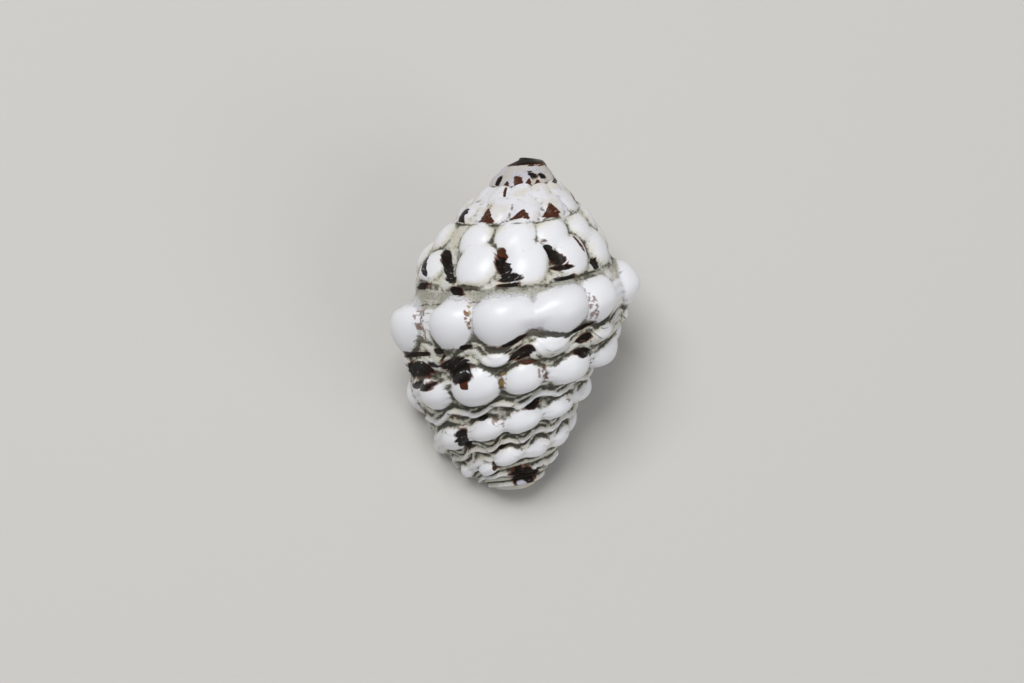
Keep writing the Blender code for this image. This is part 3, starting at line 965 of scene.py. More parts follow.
@dataclass(frozen=True)
class GlazedAragonite(Finish):
    """Crossed layers of aragonite, grown in glazed white knobs over duller ground, with pigment in bars.

    The glaze gives the knobs a milky white with soft highlights, and the ground between them is matt and
    cream. Its hollows are olive and black, partly dirt and partly painted shade in the creases between the
    knobs, and its grooves hold dark dirt. Pigment grown into the shell gives near-black bars with rusty,
    frayed edges. A pair named "at" says where a thing starts and is full. The gloss is given without
    pigment and with it.
    """

    name: str = "glazed_aragonite"
    base: str = "#cecdc7"
    coats: tuple[Coat, ...] = (
        Coat("glaze", "#e8e8eb", "relief", 0.06, 0.36, 0.1),
        Coat("worn whorls", "#e0dfe3", "worn", 0.1, 0.9, 0.1),
        Coat("grey early whorls", "#a5a0a8", "early", 0.0, 1.0, 0.3, 0.6),
        Coat("cream fringe", "#c6ba90", "relief", 0.55, 0.2, 0.2, 0.32, ("patches",)),
        Coat("cream in hollows", "#b3b1a3", "hollow", 0.0, 0.06, 0.04, 0.65, ("unglazed",)),
        # olive and black in the hollows: partly real dirt, partly painted shade in the creases between the
        # knobs
        Coat("olive dirt", "#6b6959", "hollow", 0.01, 0.08, 0.1, 0.75, ("sheltered",)),
        Coat("black dirt", "#2f2d25", "hollow", 0.04, 0.11, 0.1, 0.85, ("sheltered",)),
        Coat("specks", "#423d2d", "hollow", 0.0, 0.06, 0.05, 0.6, ("specks",)),
        Coat("dirt in the suture", "#2f2b1c", "seam", 0.3, 0.85, 0.6, 0.8, ("patches",)),
        Coat("dark grooves", "#2f2b22", "groove", 0.86, 1.0, 0.35, 0.7, ("lowland", "patches", "adult")),
        Coat("ochre stain", "#a07a34", "ochre", -0.1, 0.3, 0.6, 0.7, ("broken",)),
        Coat("brown spots", "#6a3f24", "spots", -0.1, 0.3, 0.5, 0.75, ("broken",)),
        Coat("rusty stain", "#4b2c1e", "rust", 0.0, 0.18, 0.6, 1.0, ("unthreaded",), "streaks"),
        Coat("rusty rim", "#5c2913", "ink", -0.2, 0.0, 0.8, 0.9, ("patches",), "streaks"),
        Coat("ink bars", "#15100c", "ink", 0.0, 0.14, 0.8, 0.98, ("unthreaded",), "streaks"),
        Coat("chalky tip", "#cfcbd6", "chalk", 0.0, 0.3, 0.2),
    )
    reads: tuple[str, ...] = ("adult", "early", "worn", "seam", "sheltered")
    worn_glaze: float = 0.5
    glazed_at: tuple[float, float] = (0.12, 0.42)
    lowland_at: tuple[float, float] = (0.75, 0.3)
    streaks_a_rib: float = 1.6
    streaks_a_thread: float = 1.3
    swerve_threads: float = 0.5
    grain_on_threads: float = 0.8
    thread_tops_at: tuple[float, float] = (1.4, 1.55)
    pigment_on_tops: float = 0.3
    glaze_roughness: float = 0.3
    ground_roughness: float = 0.6
    pitting_mm: float = 0.05
    threads_in_pitting: float = 0.35
    pigment_at: tuple[float, float] = (-0.05, 0.15)
    gloss: tuple[float, float] = (0.32, 0.08)
    milkiness: float = 0.12
    milky_reach: tuple[float, float, float] = (1.0, 0.9, 0.75)
    milky_reach_mm: float = 0.6

    def material(self) -> bpy.types.Material:
        """Builds the finish.

        Returns:
            The material.
        """
        made = self.start()
        tree = made.node_tree
        shader = tree.nodes["Principled BSDF"]
        signals = self.signals(tree, ("relief", "hollow", *self.reads, *(t.value for t in Tint)))
        smooth = {0: signals["worn"], 1: self.worn_glaze, 2: signals["relief"]}
        smooth = add(tree, "ShaderNodeMath", smooth, operation="MULTIPLY_ADD")
        low, high = self.glazed_at
        glazed = {"Value": smooth, "From Min": low, "From Max": high}
        glazed = add(tree, "ShaderNodeMapRange", glazed, interpolation_type="SMOOTHSTEP")
        signals["unglazed"] = add(tree, "ShaderNodeMath", {0: 1.0, 1: glazed}, operation="SUBTRACT")
        low, high = self.lowland_at
        lowland = {"Value": smooth, "From Min": low, "From Max": high}
        signals["lowland"] = add(tree, "ShaderNodeMapRange", lowland)
        growth = add(tree, "ShaderNodeUVMap", uv_map="growth")
        streaks = {"Vector": growth, "Scale": (self.streaks_a_rib, self.streaks_a_thread, 1.0)}
        streaks = add(tree, "ShaderNodeMapping", streaks)
        streaks = {"Vector": streaks, "Scale": 1.0, "Detail": 3.0}
        signals["streaks"] = add(tree, "ShaderNodeTexNoise", streaks)
        growth = add(tree, "ShaderNodeSeparateXYZ", {0: growth})
        swerve = {0: signals["patch"], 1: self.swerve_threads, 2: growth.outputs["Y"]}
        swerve = add(tree, "ShaderNodeMath", swerve, operation="MULTIPLY_ADD")
        phase = add(tree, "ShaderNodeMath", {0: swerve, 1: 2 * math.pi}, operation="MULTIPLY")
        wave = add(tree, "ShaderNodeMath", {0: phase}, operation="COSINE")
        signals["groove"] = add(tree, "ShaderNodeMath", {0: wave, 1: -1.0}, operation="MULTIPLY")
        tops = {0: signals["grain"], 1: self.grain_on_threads, 2: wave}
        tops = add(tree, "ShaderNodeMath", tops, operation="MULTIPLY_ADD")
        low, high = self.thread_tops_at
        tops = {"Value": tops, "From Min": low, "From Max": high}
        tops |= {"To Min": 1.0, "To Max": self.pigment_on_tops}
        signals["unthreaded"] = add(tree, "ShaderNodeMapRange", tops)
        self.paint(tree, signals)
        rough = {"Value": glazed, "To Min": self.ground_roughness, "To Max": self.glaze_roughness}
        rough = add(tree, "ShaderNodeMapRange", rough)
        tree.links.new(rough.outputs[0], shader.inputs["Roughness"])
        rise = {0: wave, 1: self.threads_in_pitting, 2: signals["grain"]}
        rise = add(tree, "ShaderNodeMath", rise, operation="MULTIPLY_ADD")
        bump = {"Height": rise, "Distance": self.pitting_mm * MM, "Strength": signals["unglazed"]}
        bump = add(tree, "ShaderNodeBump", bump)
        tree.links.new(bump.outputs[0], shader.inputs["Normal"])
        shader.inputs["IOR"].default_value = self.ior
        dark = {0: signals["ink"], 1: signals["rust"]}
        dark = add(tree, "ShaderNodeMath", dark, operation="MAXIMUM")
        (low, high), (white, black) = self.pigment_at, self.gloss
        gloss = {"Value": dark, "From Min": low, "From Max": high, "To Min": white, "To Max": black}
        gloss = add(tree, "ShaderNodeMapRange", gloss)
        tree.links.new(gloss.outputs[0], shader.inputs["Specular IOR Level"])
        shader.inputs["Subsurface Weight"].default_value = self.milkiness
        shader.inputs["Subsurface Radius"].default_value = self.milky_reach
        shader.inputs["Subsurface Scale"].default_value = self.milky_reach_mm * MM
        return made


@dataclass(frozen=True)
class AperturePorcelain(Finish):
    """Inner layer of the aperture, laid down smooth like porcelain.

    It gives a soft cream shine, browner deeper in, with dark spots along the lip where outer bars end.
    """

    name: str = "aperture_porcelain"
    base: str = "#e2d8c8"
    coats: tuple[Coat, ...] = (
        Coat("clouded cream", "#cdbfa4", "patch", 0.45, 0.65, 0.1, 0.6),
        Coat("brown throat", "#8c6647", "back_deg", 34.0, 100.0, 6.0, 0.75),
        Coat("spots on the lip", "#3a2115", "spots", 0.35, 0.6, 0.3, 0.9, ("lip",)),
    )
    spots: float = 7.0
    spotted_deg: float = 4.0
    ripple_mm: float = 0.02
    ripple_strength: float = 0.5
    roughness: float = 0.28

    def material(self) -> bpy.types.Material:
        """Builds the finish.

        Returns:
            The material.
        """
        made = self.start()
        tree = made.node_tree
        shader = tree.nodes["Principled BSDF"]
        signals = self.signals(tree, ("share", "back_deg"))
        phase = {0: signals["share"], 1: 2 * math.pi * self.spots}
        phase = add(tree, "ShaderNodeMath", phase, operation="MULTIPLY")
        signals["spots"] = add(tree, "ShaderNodeMath", {0: phase}, operation="COSINE")
        lip = {"Value": signals["back_deg"], "From Min": self.spotted_deg, "From Max": 0.0}
        signals["lip"] = add(tree, "ShaderNodeMapRange", lip)
        self.paint(tree, signals)
        ripple = {"Distance": self.ripple_mm * MM, "Strength": self.ripple_strength}
        bump = add(tree, "ShaderNodeBump", {"Height": signals["grain"], **ripple})
        tree.links.new(bump.outputs[0], shader.inputs["Normal"])
        shader.inputs["Roughness"].default_value = self.roughness
        shader.inputs["IOR"].default_value = self.ior
        return made


@dataclass
class Shell:
    """The shell: its coil, its sculpture, its aperture and the way it lies.

    Lengths are in millimetres, and places on the wall are in ribs and stations. A pair says where a change
    begins and ends. The pairs of the worn apex and its dome say how high each is on the axis, and how much
    that changes with the square of the radius.
    """

    coil: Coil = field(default_factory=Coil)
    columns_per_rib: int = 32
    spire_rows: int = 40
    base_rows: int = 88
    rows: tuple[KnobRow, ...] = (
        KnobRow("upper spire", Whorls.SPIRE, 1.75, -0.08, 2.5, 2.2, 0.95),
        KnobRow("lower spire", Whorls.SPIRE, 4.75, -0.35, 3.15, 2.65, 1.15, (
            Own(1, -0.35, 4.85, 1.08), Own(2, -0.35, 5.55, 1.0), Own(9, -0.42, 4.65, 1.0),
        )),
        KnobRow("suture", Whorls.LAST, 0.55, -0.2, 1.3, 0.55, 0.25),
        KnobRow("shoulder", Whorls.LAST, 2.35, 0.0, 2.35, 2.15, 1.9, (
            Own(0, 0.05, 2.35, 0.9), Own(1, -0.1, 2.45, 1.0), Own(2, -0.1, 2.65, 1.15),
            Own(8, 0.22, 2.0, 1.0), Own(9, -0.05, 2.15, 0.99),
        )),
        KnobRow("bridge", Whorls.LAST, 2.45, 0.5, 1.5, 1.1, 1.2, (Own(9, 0.5, 2.45, 1.0),), 0.05),
        KnobRow("waist", Whorls.LAST, 5.1, 0.05, 1.5, 0.8, 0.5, (
            Own(0, 0.12, 5.65, 0.75), Own(9, 0.15, 4.95, 1.15), Own(1, 0.3, 5.35, 0.3),
        )),
        KnobRow("middle", Whorls.LAST, 7.85, -0.33, 2.05, 1.7, 1.35, (
            Own(0, -0.34, 7.8, 0.84), Own(1, -0.46, 7.85, 1.16), Own(2, -0.6, 8.1, 1.0),
        )),
        KnobRow("lower", Whorls.LAST, 12.1, -0.42, 1.65, 1.25, 0.9, (
            Own(1, -0.5, 12.15, 1.0), Own(2, -0.55, 12.3, 1.0), Own(3, -0.5, 12.1, 0.55),
        )),
        KnobRow("canal", Whorls.LAST, 15.65, -0.1, 1.0, 0.95, 0.7, (
            Own(0, 0.05, 15.5, 1.0), Own(1, -0.05, 16.4, 1.0), Own(3, -0.1, 16.0, 0.6),
        )),
    )
    cords: tuple[Cord, ...] = (
        Cord("shoulder", 2.35, 1.7, 0.5),
        Cord("under shoulder", 4.45, 0.25, 0.16, 0.25, 0.0),
        Cord("waist", 5.65, 0.6, 0.12),
        Cord("middle", 7.85, 1.3, 0.45),
        Cord("under middle", 10.3, 0.3, 0.32, 0.35, -0.33),
        Cord("lower", 12.1, 1.0, 0.5),
        Cord("under lower", 14.15, 0.28, 0.28, 0.25, -0.42),
        Cord("canal", 15.65, 0.8, 0.33),
        Cord("under canal", 17.7, 0.35, 0.3, 0.15, -0.1),
        Cord("canal end", 19.2, 0.35, 0.22),
    )
    smallest_knob: float = 0.01
    worn_turns: tuple[float, float] = (-1.9, -0.8)
    worn_share: float = 0.45
    lap: float = 0.93
    lap_rim: float = 0.1
    seam_ease: float = 0.5
    seam_width: float = 0.35
    far: float = 9.0
    lip_lowers: float = 0.6
    lip_lowers_ribs: float = 0.35
    shelter: float = 0.8
    sheltered_to: tuple[float, float] = (3.0, 4.2)
    worn_foot: float = 0.35
    lip_wall: float = 1.1
    lip_thins: float = 0.4
    lip_thins_at: tuple[float, float] = (0.6, 1.0)
    callus: float = 0.25
    least_gap: float = 0.3
    posterior_gap: float = 1.3
    canal_dish: float = 0.8
    teeth: int = 5
    tooth_height: float = 0.45
    first_tooth: float = 0.2
    teeth_reach: float = 0.6
    teeth_rise: tuple[float, float] = (0.1, 0.2)
    teeth_fall: tuple[float, float] = (0.68, 0.8)
    hollow: tuple[Ring, ...] = (
        Ring(-1.4, 0.3, 1.0, 1.0, 0.0),
        Ring(2.0, 0.9, 1.0, 1.0, 0.0),
        Ring(9.0, 1.1, 1.0, 1.0, 1.0),
        Ring(20.0, 1.0, 1.0, 0.97, 0.6),
        Ring(36.0, 1.0, 1.0, 0.9, 0.0),
        Ring(58.0, 1.0, 0.95, 0.8, 0.0),
        Ring(84.0, 1.0, 0.8, 0.7, 0.0),
        Ring(112.0, 1.0, 0.45, 0.6, 0.0),
    )
    rings_between: int = 4
    apex_thread: float = 0.5
    canal_thread: float = 26.5
    easing_rounds: int = 10
    markings: Markings = field(default_factory=Markings)
    roll_deg: float = -2.2
    lean_deg: float = 27.0
    worn_apex: tuple[float, float] = (-0.75, -0.1)
    worn_apex_softness: float = 0.12
    apex_dome: tuple[float, float] = (-0.58, -0.09)
    apex_dome_fades: tuple[float, float] = (1.2, 1.85)
    apex_dome_depth: float = -4.0
    apex_stain_radius: float = 1.65
    apex_stain_edge: float = 0.4
    apex_stain_depth: float = -3.0
    apex_ink_narrower: float = 0.5

    def hollow_ring(self, ring: Ring, share: np.ndarray, outer: np.ndarray) -> np.ndarray:
        """Points of one ring of the hollow.

        Args:
            ring: Where the ring stands.
            share: How far down the aperture each point is.
            outer: Whether each point is on the outer lip's side.

        Returns:
            Points in millimetres.
        """
        coil = self.coil
        turn = np.array(coil.lip_turn - ring.back_deg / 360.0)
        top = coil.suture(turn)[0] + self.posterior_gap * ring.clear
        depth = top + share * ring.length * (coil.canal_end - self.canal_dish * ring.clear - top)
        tooth = np.cos(2 * np.pi * (share - self.first_tooth) * self.teeth / self.teeth_reach)
        toothed = self.tooth_height * ring.teeth * np.maximum(0.0, tooth)
        toothed = toothed * smooth_step(share, *self.teeth_rise)
        toothed = toothed * (1.0 - smooth_step(share, *self.teeth_fall))
        thinner = self.lip_thins * smooth_step(share, *self.lip_thins_at)
        wall_mm = self.lip_wall * (1.0 - thinner) * ring.clear
        outside = coil.radius_at_depth(turn, depth) - wall_mm - toothed
        inside = coil.columella_radius(turn - 1.0, depth) + self.callus * ring.clear
        outside = np.maximum(outside, inside + self.least_gap)
        middle, half = (outside + inside) / 2, (outside - inside) / 2 * ring.opening
        return coil.place(np.full_like(depth, turn), depth, middle + np.where(outer, half, -half))

    def hollow_rings(self) -> list[Ring]:
        """Fills in rings between the ones given.

        Returns:
            The rings in order from the lip inwards.
        """
        given = np.array([[r.back_deg, r.clear, r.opening, r.length, r.teeth] for r in self.hollow])
        at = np.linspace(0, len(given) - 1, (len(given) - 1) * self.rings_between + 1)
        return [Ring(*(float(np.interp(k, range(len(given)), column)) for column in given.T)) for k in at]

    def build(self) -> bpy.types.Object:
        """Builds the bare wall with its aperture, as one closed mesh with its sizes as attributes.

        Returns:
            The object, in the shell's own frame.
        """
        coil = self.coil
        columns = round((coil.lip_rib - coil.apex_rib) * self.columns_per_rib) + 1
        ribs = np.arange(columns) / self.columns_per_rib + coil.apex_rib
        last, whorl = columns - 1, coil.ribs * self.columns_per_rib
        first = last - whorl
        spire_end, row_end = self.spire_rows, self.spire_rows + self.base_rows
        stations = np.concatenate(
            [
                np.linspace(0.0, coil.next_suture, self.spire_rows + 1),
                np.linspace(coil.next_suture, coil.last_station, self.base_rows + 1)[1:],
            ]
        )
        col, row = np.meshgrid(np.arange(columns), np.arange(row_end + 1), indexing="ij")
        wanted = (row <= spire_end) | (col >= first)
        own = wanted & ~((row == spire_end) & (col + whorl <= last))
        index = np.full(col.shape, -1)
        index[own] = np.arange(own.sum())
        index[: first + 1, spire_end] = index[whorl : whorl + first + 1, 0]
        rib, station = ribs[col[own]], stations[row[own]]
        points, outward, rib_mm = coil.wall_frame(rib, station)
        points = points.tolist()

        cells = wanted[:-1, :-1] & ((row[:-1, :-1] < spire_end) | (col[:-1, :-1] >= first))
        c, r = col[:-1, :-1][cells], row[:-1, :-1][cells]
        corner_cols, corner_rows = np.stack([c, c, c + 1, c + 1], 1), np.stack([r, r + 1, r + 1, r], 1)
        faces = index[corner_cols, corner_rows].tolist()
        corner_rib, corner_station = ribs[corner_cols], stations[corner_rows]
        threads = self.markings.threads(self.rows, corner_rib, corner_station)
        corners = np.stack([corner_rib, threads], -1).reshape(-1, 2).tolist()

        def close(edge: list[int], shift: np.ndarray) -> int:
            """Adds a point in the middle of an edge.

            Args:
                edge: Points of the edge.
                shift: How far the point is moved.

            Returns:
                The point's number.
            """
            points.append((np.mean([points[i] for i in edge], axis=0) + shift).tolist())
            return len(points) - 1

        apex_edge = index[: whorl + 1, 0].tolist() + index[0, spire_end - 1 : 0 : -1].tolist()
        apex = close(apex_edge, np.zeros(3))
        caps = [[a, b, apex] for a, b in zip(apex_edge, apex_edge[1:] + apex_edge[:1])]
        canal_edge = index[first : last + 1, row_end].tolist()
        canal = close(canal_edge, np.array([0.0, 0.0, self.canal_dish]))
        caps += [[b, a, canal] for a, b in zip(canal_edge, canal_edge[1:])]
        corners += [(coil.apex_rib, self.apex_thread)] * 3 * len(apex_edge)
        corners += [(coil.lip_rib, self.canal_thread)] * 3 * (len(canal_edge) - 1)
        faces += caps
        inside_from = len(faces)

        edge = index[last, : row_end + 1].tolist() + index[first, row_end:spire_end:-1].tolist()
        depth = -np.array([points[i] for i in edge])[:, 2]
        share = np.clip((depth - depth[0]) / (depth[row_end] - depth[0]), 0.0, 1.0)
        outer = np.arange(len(edge)) <= row_end
        shares, backs = [], []
        for number, ring in enumerate(self.hollow_rings()):
            shares += share.tolist()
            backs += [ring.back_deg] * len(edge)
            fresh = [len(points) + k for k in range(len(edge))]
            points += self.hollow_ring(ring, share, outer).tolist()
            for k, (here, inward) in enumerate(zip(edge, fresh)):
                after = (k + 1) % len(edge)
                made = [[here, edge[after], fresh[after], inward]]
                if number == 0 and k == row_end:
                    made = [[here, canal, inward], [canal, edge[after], fresh[after]]]
                    made.append([canal, fresh[after], inward])
                faces += made
                for face in made:
                    corners += [(float(share[k]), ring.back_deg)] * len(face)
            edge = fresh
        end = close(edge, np.zeros(3))
        faces += [[a, b, end] for a, b in zip(edge, edge[1:] + edge[:1])]
        corners += [(0.0, self.hollow[-1].back_deg)] * 3 * len(edge)

        mesh = bpy.data.meshes.new("rock_snail_shell")
        mesh.from_pydata((np.array(points) * MM).tolist(), [], faces)
        growth = mesh.uv_layers.new(name="growth")
        growth.uv.foreach_set("vector", np.array(corners, dtype=np.float32).ravel())
        self.store(mesh, rib, station, outward, rib_mm)
        shares.append(0.0)
        backs.append(self.hollow[-1].back_deg)
        write_values(mesh, "share", shares, len(points) - len(shares))
        write_values(mesh, "back_deg", backs, len(points) - len(backs))
        inside = mesh.attributes.new("inside", "BOOLEAN", "FACE")
        inside.data.foreach_set("value", np.arange(len(faces)) >= inside_from)
        mesh.flip_normals()
        return put_in_scene("rock_snail_shell", mesh)

    def nearest_knob(
        self, row: KnobRow, rib: np.ndarray, station: np.ndarray, rib_mm: np.ndarray
    ) -> tuple[np.ndarray, np.ndarray, np.ndarray]:
        """Finds the nearest knob of a row, in the spire also of the next whorl, whose knobs lap the suture.

        Args:
            row: The row.
            rib: Rib numbers of the wall's points.
            station: Their stations.
            rib_mm: The length of a rib at each.

        Returns:
            How far along and across the wall its middle is in millimetres, and its size.
        """
        coil = self.coil
        here = 1.0 + row.whorls.value * (coil.growth ** coil.turn_of(rib) - 1.0)
        best, found = np.full_like(rib, np.inf), [np.zeros_like(rib)] * 3
        for later in (0, 1) if row.whorls is Whorls.SPIRE else (0,):
            own_rib, below = rib + later * coil.ribs, (station - later * coil.next_suture) * here
            turn = coil.turn_of(own_rib)
            whorl = 1.0 + row.whorls.value * (coil.growth**turn - 1.0)
            left = 1.0 - later * smooth_step(turn, coil.adult_from, coil.adult_to)
            for neighbour in (-1, 0, 1):
                knob = np.round(own_rib - row.shift) + neighbour
                size = whorl * coil.between_ribs(coil.rib_size, knob) * row.size
                size = size * np.maximum(left, self.smallest_knob)
                shift, at = np.full_like(rib, row.shift), np.full_like(rib, row.station)
                for own in row.own:
                    chosen = np.mod(knob, coil.ribs) == own.rib
                    shift, at = np.where(chosen, own.shift, shift), np.where(chosen, own.station, at)
                    size = np.where(chosen, size * own.size / row.size, size)
                along, across = (own_rib - knob - shift) * rib_mm, below - at * whorl
                reach = np.hypot(along / (row.half_along * size), across / (row.half_across * size))
                found = [np.where(reach < best, new, old) for new, old in zip((along, across, size), found)]
                best = np.minimum(best, reach)
        return tuple(found)

    def store(
        self,
        mesh: bpy.types.Mesh,
        rib: np.ndarray,
        station: np.ndarray,
        outward: np.ndarray,
        rib_mm: np.ndarray,
    ) -> None:
        """Writes the sizes that the knobs and cords are raised by, as attributes of the points.

        Args:
            mesh: The shell's mesh, whose first points are those of the wall.
            rib: Rib numbers of the wall's points.
            station: Their stations.
            outward: Their outward directions.
            rib_mm: The length of a rib at each.
        """
        coil = self.coil
        turn = coil.turn_of(rib)
        adult, next_adult = (
            smooth_step(turn + later, coil.adult_from, coil.adult_to) for later in (0.0, 1.0)
        )
        ease, foot, last_from = self.seam_ease, coil.next_suture, coil.lip_rib - coil.ribs
        covered = 1.0 - smooth_step(rib, last_from, last_from + ease)
        grown = turn + np.minimum(station / foot, 1.0)
        share = self.worn_share + (1.0 - self.worn_share) * smooth_step(grown, *self.worn_turns)
        share *= 1.0 - adult * (1.0 - smooth_step(station, 0.0, ease))
        share *= 1.0 - covered * next_adult * smooth_step(station, foot - ease, foot)
        share *= 1.0 - self.lip_lowers * smooth_step(rib, coil.lip_rib - self.lip_lowers_ribs, coil.lip_rib)
        middle = coil.wall_frame(rib, np.full_like(station, foot / 2))[1]
        outward = middle + adult[:, None] * (outward - middle)
        outward /= np.linalg.norm(outward, axis=-1, keepdims=True)
        to_foot = np.where(covered > 0.0, foot - station, self.far)
        seam = 1.0 - np.minimum(station, to_foot) / self.seam_width
        upper = self.rows[0]
        along, across, size = self.nearest_knob(upper, rib, station, rib_mm)
        reach = np.hypot(along / (upper.half_along * size), across / (upper.half_across * size)) / self.lap
        spire_foot = (station > foot / 2) & (next_adult < 0.5) & (across < 0.0)
        lapped = spire_foot & (reach < 1.0)
        rim = np.where(spire_foot, 1.0 - np.abs(reach - 1.0) / self.lap_rim, -1.0)
        seam = np.where((reach < 1.0) & (next_adult < 0.5), rim, np.maximum(seam, rim))
        marked = self.markings.fields(rib, station)
        marked_next = self.markings.fields(rib + coil.ribs, station - foot)
        marked = {name: np.where(lapped, marked_next[name], marked[name]) for name in marked}
        fields = {
            "rib": rib,
            "station": station,
            "adult": adult,
            # where the olive and black crease coats (dirt and painted shade) lie: weaker on the shelf under
            # the suture
            "sheltered": 1.0 - self.shelter * adult * (1.0 - smooth_step(station, *self.sheltered_to)),
            "raised_share": share,
            "threads": self.markings.threads(self.rows, rib, station),
            "seam": seam,
            **marked,
        }
        for number, row in enumerate(self.rows):
            away = zip(("along", "across", "size"), self.nearest_knob(row, rib, station, rib_mm))
            fields |= {f"{name}_{number}": values for name, values in away}
        for name, values in fields.items():
            write_values(mesh, name, values)
        full = np.zeros((len(mesh.vertices), 3), dtype=np.float32)
        full[: len(outward)] = outward
        mesh.attributes.new("outward", "FLOAT_VECTOR", "POINT").data.foreach_set("vector", full.ravel())

    def sculpt(
        self, piece: bpy.types.Object, outside: bpy.types.Material, inside: bpy.types.Material
    ) -> None:
        """Raises the knobs and cords and makes the result a plain mesh.

        Args:
            piece: The bare shell.
            outside: Finish of the outside.
            inside: Finish of the aperture.
        """
        Sculpture(self.rows, self.cords).put_on(piece, outside, inside)
        bare = piece.data
        graph = bpy.context.evaluated_depsgraph_get()
        seen = piece.evaluated_get(graph)
        mesh = bpy.data.meshes.new_from_object(seen, preserve_all_data_layers=True, depsgraph=graph)
        piece.modifiers.clear()
        piece.data = mesh
        bpy.data.meshes.remove(bare)
        mesh.name = "rock_snail_shell"

    def weather(self, mesh: bpy.types.Mesh) -> None:
        """Finds the creases for dirt and painted shade, stains the apex, and keeps only what the finishes
        read.

        Args:
            mesh: The shell's mesh in its own frame.
        """
        count = len(mesh.vertices)
        points, normals = points_in_mm(mesh), np.empty(count * 3)
        mesh.vertex_normals.foreach_get("vector", normals)
        normals = normals.reshape(-1, 3)
        ends = np.empty(len(mesh.edges) * 2, dtype=np.int32)
        mesh.edges.foreach_get("vertices", ends)
        here, there = np.concatenate([ends[::2], ends[1::2]]), np.concatenate([ends[1::2], ends[::2]])
        neighbours = np.bincount(here, minlength=count)[:, None]
        eased = points
        for _ in range(self.easing_rounds):
            eased = np.stack([np.bincount(here, eased[there, k], count) for k in range(3)], -1) / neighbours
        on_apex = self.apex_stain_radius - np.hypot(points[:, 0], points[:, 1])
        on_apex = np.where(points[:, 2] > self.apex_stain_depth, on_apex / self.apex_stain_edge, -1.0)
        for tint, narrower in ((Tint.RUST, 0.0), (Tint.INK, self.apex_ink_narrower)):
            marked = np.empty(count)
            mesh.attributes[tint.value].data.foreach_get("value", marked)
            write_values(mesh, tint.value, np.maximum(marked, on_apex - narrower))
        # depth of each point below its eased neighbours; the finish paints dirt and shade in these creases
        # with it
        write_values(mesh, "hollow", np.sum((eased - points) * normals, axis=1))
        kept = {"relief", "hollow", "share", "back_deg", *GlazedAragonite.reads, *(t.value for t in Tint)}
        own = [held for held in mesh.attributes if not held.is_internal and not held.is_required]
        for name in [held.name for held in own if held.domain == "POINT"]:
            if name not in kept:
                mesh.attributes.remove(mesh.attributes[name])

    def lay_down(self, mesh: bpy.types.Mesh) -> None:
        """Wears the apex, turns the shell onto its aperture and wears its contact points flat.

        Args:
            mesh: The shell's mesh in its own frame.
        """
        points = points_in_mm(mesh)
        radius = np.hypot(points[:, 0], points[:, 1])
        limit = self.worn_apex[0] + self.worn_apex[1] * (points[:, 0] ** 2 + points[:, 1] ** 2)
        softness = self.worn_apex_softness
        points[:, 2] = limit - softness * np.logaddexp(0.0, (limit - points[:, 2]) / softness)
        dome = self.apex_dome[0] + self.apex_dome[1] * radius**2
        rounded = (1.0 - smooth_step(radius, *self.apex_dome_fades)) * (points[:, 2] > self.apex_dome_depth)
        points[:, 2] += rounded * (dome - points[:, 2])
        back_up = Matrix(((0, 1, 0), (0, 0, 1), (1, 0, 0)))
        roll = Matrix.Rotation(math.radians(self.roll_deg), 3, "Z")
        lean = Matrix.Rotation(math.radians(self.lean_deg), 3, "X")
        points = points @ np.array(lean @ back_up @ roll).T
        points[:, 2] -= points[:, 2].min() + self.worn_foot
        points[:, 2] = np.maximum(points[:, 2], 0.0)
        points[:, :2] -= (points[:, :2].min(axis=0) + points[:, :2].max(axis=0)) / 2
        mesh.vertices.foreach_set("co", (points * MM).ravel())
        mesh.update()

    def dress(self, piece: bpy.types.Object) -> None:
        """Shades the shell smooth and puts it in the frame.

        Args:
            piece: The finished shell.
        """
        piece.data.shade_smooth()
        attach(piece, "root")
        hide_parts("shell")


@dataclass(frozen=True)
class Lamp:
    """A soft square lamp that points at the shell, with its place and width in metres."""

    name: str
    place: tuple[float, float, float]
    width: float
    power: float


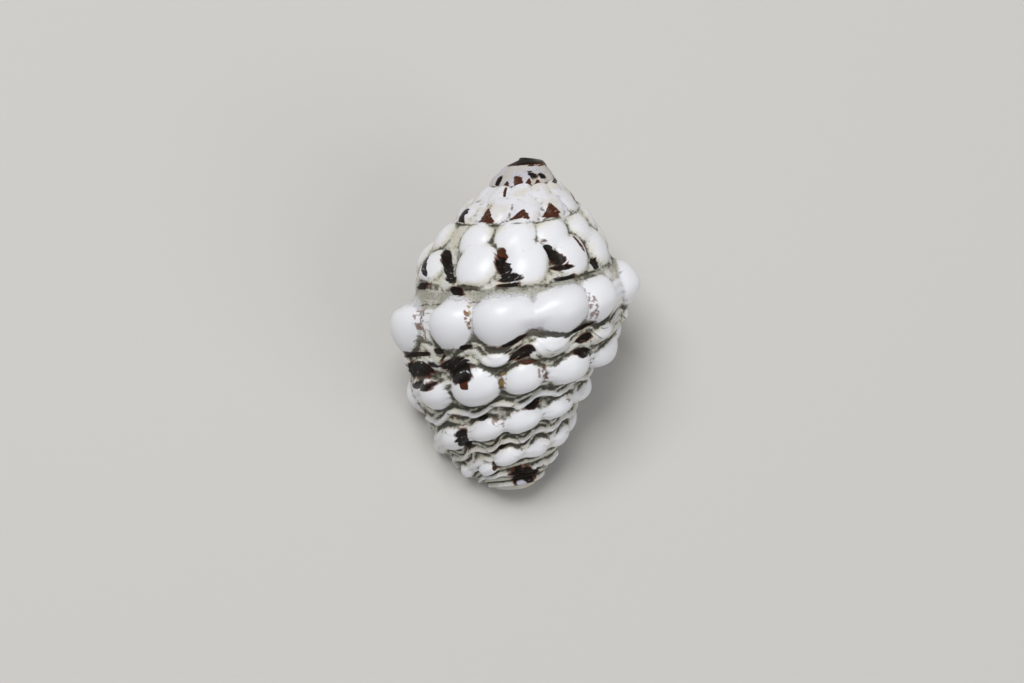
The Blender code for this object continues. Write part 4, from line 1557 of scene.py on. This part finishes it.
@dataclass(frozen=True)
class Studio:
    """Plain floor, soft light and a camera that looks down on the back of the shell.

    Lengths are in metres where no unit is named.
    """

    floor_colour: str = "#c9c7c2"
    floor_roughness: float = 0.85
    floor_size: float = 3.0
    lamps: tuple[Lamp, ...] = (
        Lamp("overhead", (-0.12, 0.13, 0.54), 0.3, 2.35),
        Lamp("fill", (0.4, -0.3, 0.35), 0.4, 0.8),
    )
    world_colour: str = "#e8eaee"
    world_strength: float = 0.35
    azimuth_deg: float = 7.002
    elevation_deg: float = 71.88
    roll_deg: float = 8.314
    aim_mm: tuple[float, float, float] = (0.53, -0.243, 6.943)
    distance: float = 0.238
    sees_from: float = 0.005
    lens_mm: float = 100.0
    sensor_mm: float = 36.0
    shift: tuple[float, float] = (-0.0083, -0.0126)

    def floor(self) -> None:
        """Lays the floor that the shell lies on."""
        half = self.floor_size / 2
        mesh = bpy.data.meshes.new("floor")
        corners = [(-half, -half, 0), (half, -half, 0), (half, half, 0), (-half, half, 0)]
        mesh.from_pydata(corners, [], [(0, 1, 2, 3)])
        made = bpy.data.materials.new("matt_card")
        made.use_nodes = True
        shader = made.node_tree.nodes["Principled BSDF"]
        shader.inputs["Base Color"].default_value = linear(self.floor_colour)
        shader.inputs["Roughness"].default_value = self.floor_roughness
        mesh.materials.append(made)
        floor = put_in_scene("floor", mesh)

    def light(self) -> None:
        """Hangs one large soft lamp over the shell, a weaker one opposite, and a pale world round it."""
        for lamp in self.lamps:
            light = bpy.data.lights.new(lamp.name, "AREA")
            light.size, light.energy = lamp.width, lamp.power
            made = put_in_scene(lamp.name, light)
            made.location = lamp.place
            made.rotation_euler = (-Vector(lamp.place)).to_track_quat("-Z", "Y").to_euler()
        world = bpy.data.worlds.new("studio")
        world.use_nodes = True
        sky = world.node_tree.nodes["Background"]
        sky.inputs["Color"].default_value = linear(self.world_colour)
        sky.inputs["Strength"].default_value = self.world_strength
        bpy.context.scene.world = world

    def camera(self) -> None:
        """Sets the camera over the shell's back, canal towards the viewer and apex away."""
        azimuth, elevation = math.radians(self.azimuth_deg), math.radians(self.elevation_deg)
        towards = Vector(
            (
                -math.sin(azimuth) * math.cos(elevation),
                -math.cos(azimuth) * math.cos(elevation),
                math.sin(elevation),
            )
        )
        camera = bpy.data.cameras.new("camera")
        camera.lens, camera.sensor_width, camera.clip_start = self.lens_mm, self.sensor_mm, self.sees_from
        camera.shift_x, camera.shift_y = self.shift
        made = put_in_scene("camera", camera)
        made.location = Vector(self.aim_mm) * MM + towards * self.distance
        turn = (-towards).to_track_quat("-Z", "Y").to_matrix()
        turn = turn @ Matrix.Rotation(math.radians(self.roll_deg), 3, "Z")
        made.rotation_euler = turn.to_euler()
        bpy.context.scene.camera = made

    def build(self) -> None:
        """Sets the whole studio up."""
        self.floor()
        self.light()
        self.camera()
        bpy.context.scene.view_settings.view_transform = "Standard"


def main() -> None:
    """Builds the shell and the studio round it."""
    logging.basicConfig(level=logging.INFO, format="%(message)s")
    Studio().build()
    LOG.info("studio: floor, lamps and camera")
    shell = Shell()
    piece = shell.build()
    LOG.info("bare shell: %d points", len(piece.data.vertices))
    shell.sculpt(piece, GlazedAragonite().material(), AperturePorcelain().material())
    shell.weather(piece.data)
    shell.lay_down(piece.data)
    shell.dress(piece)
    LOG.info("rock_snail_shell: %d faces", len(piece.data.polygons))


if __name__ == "__main__":
    main()
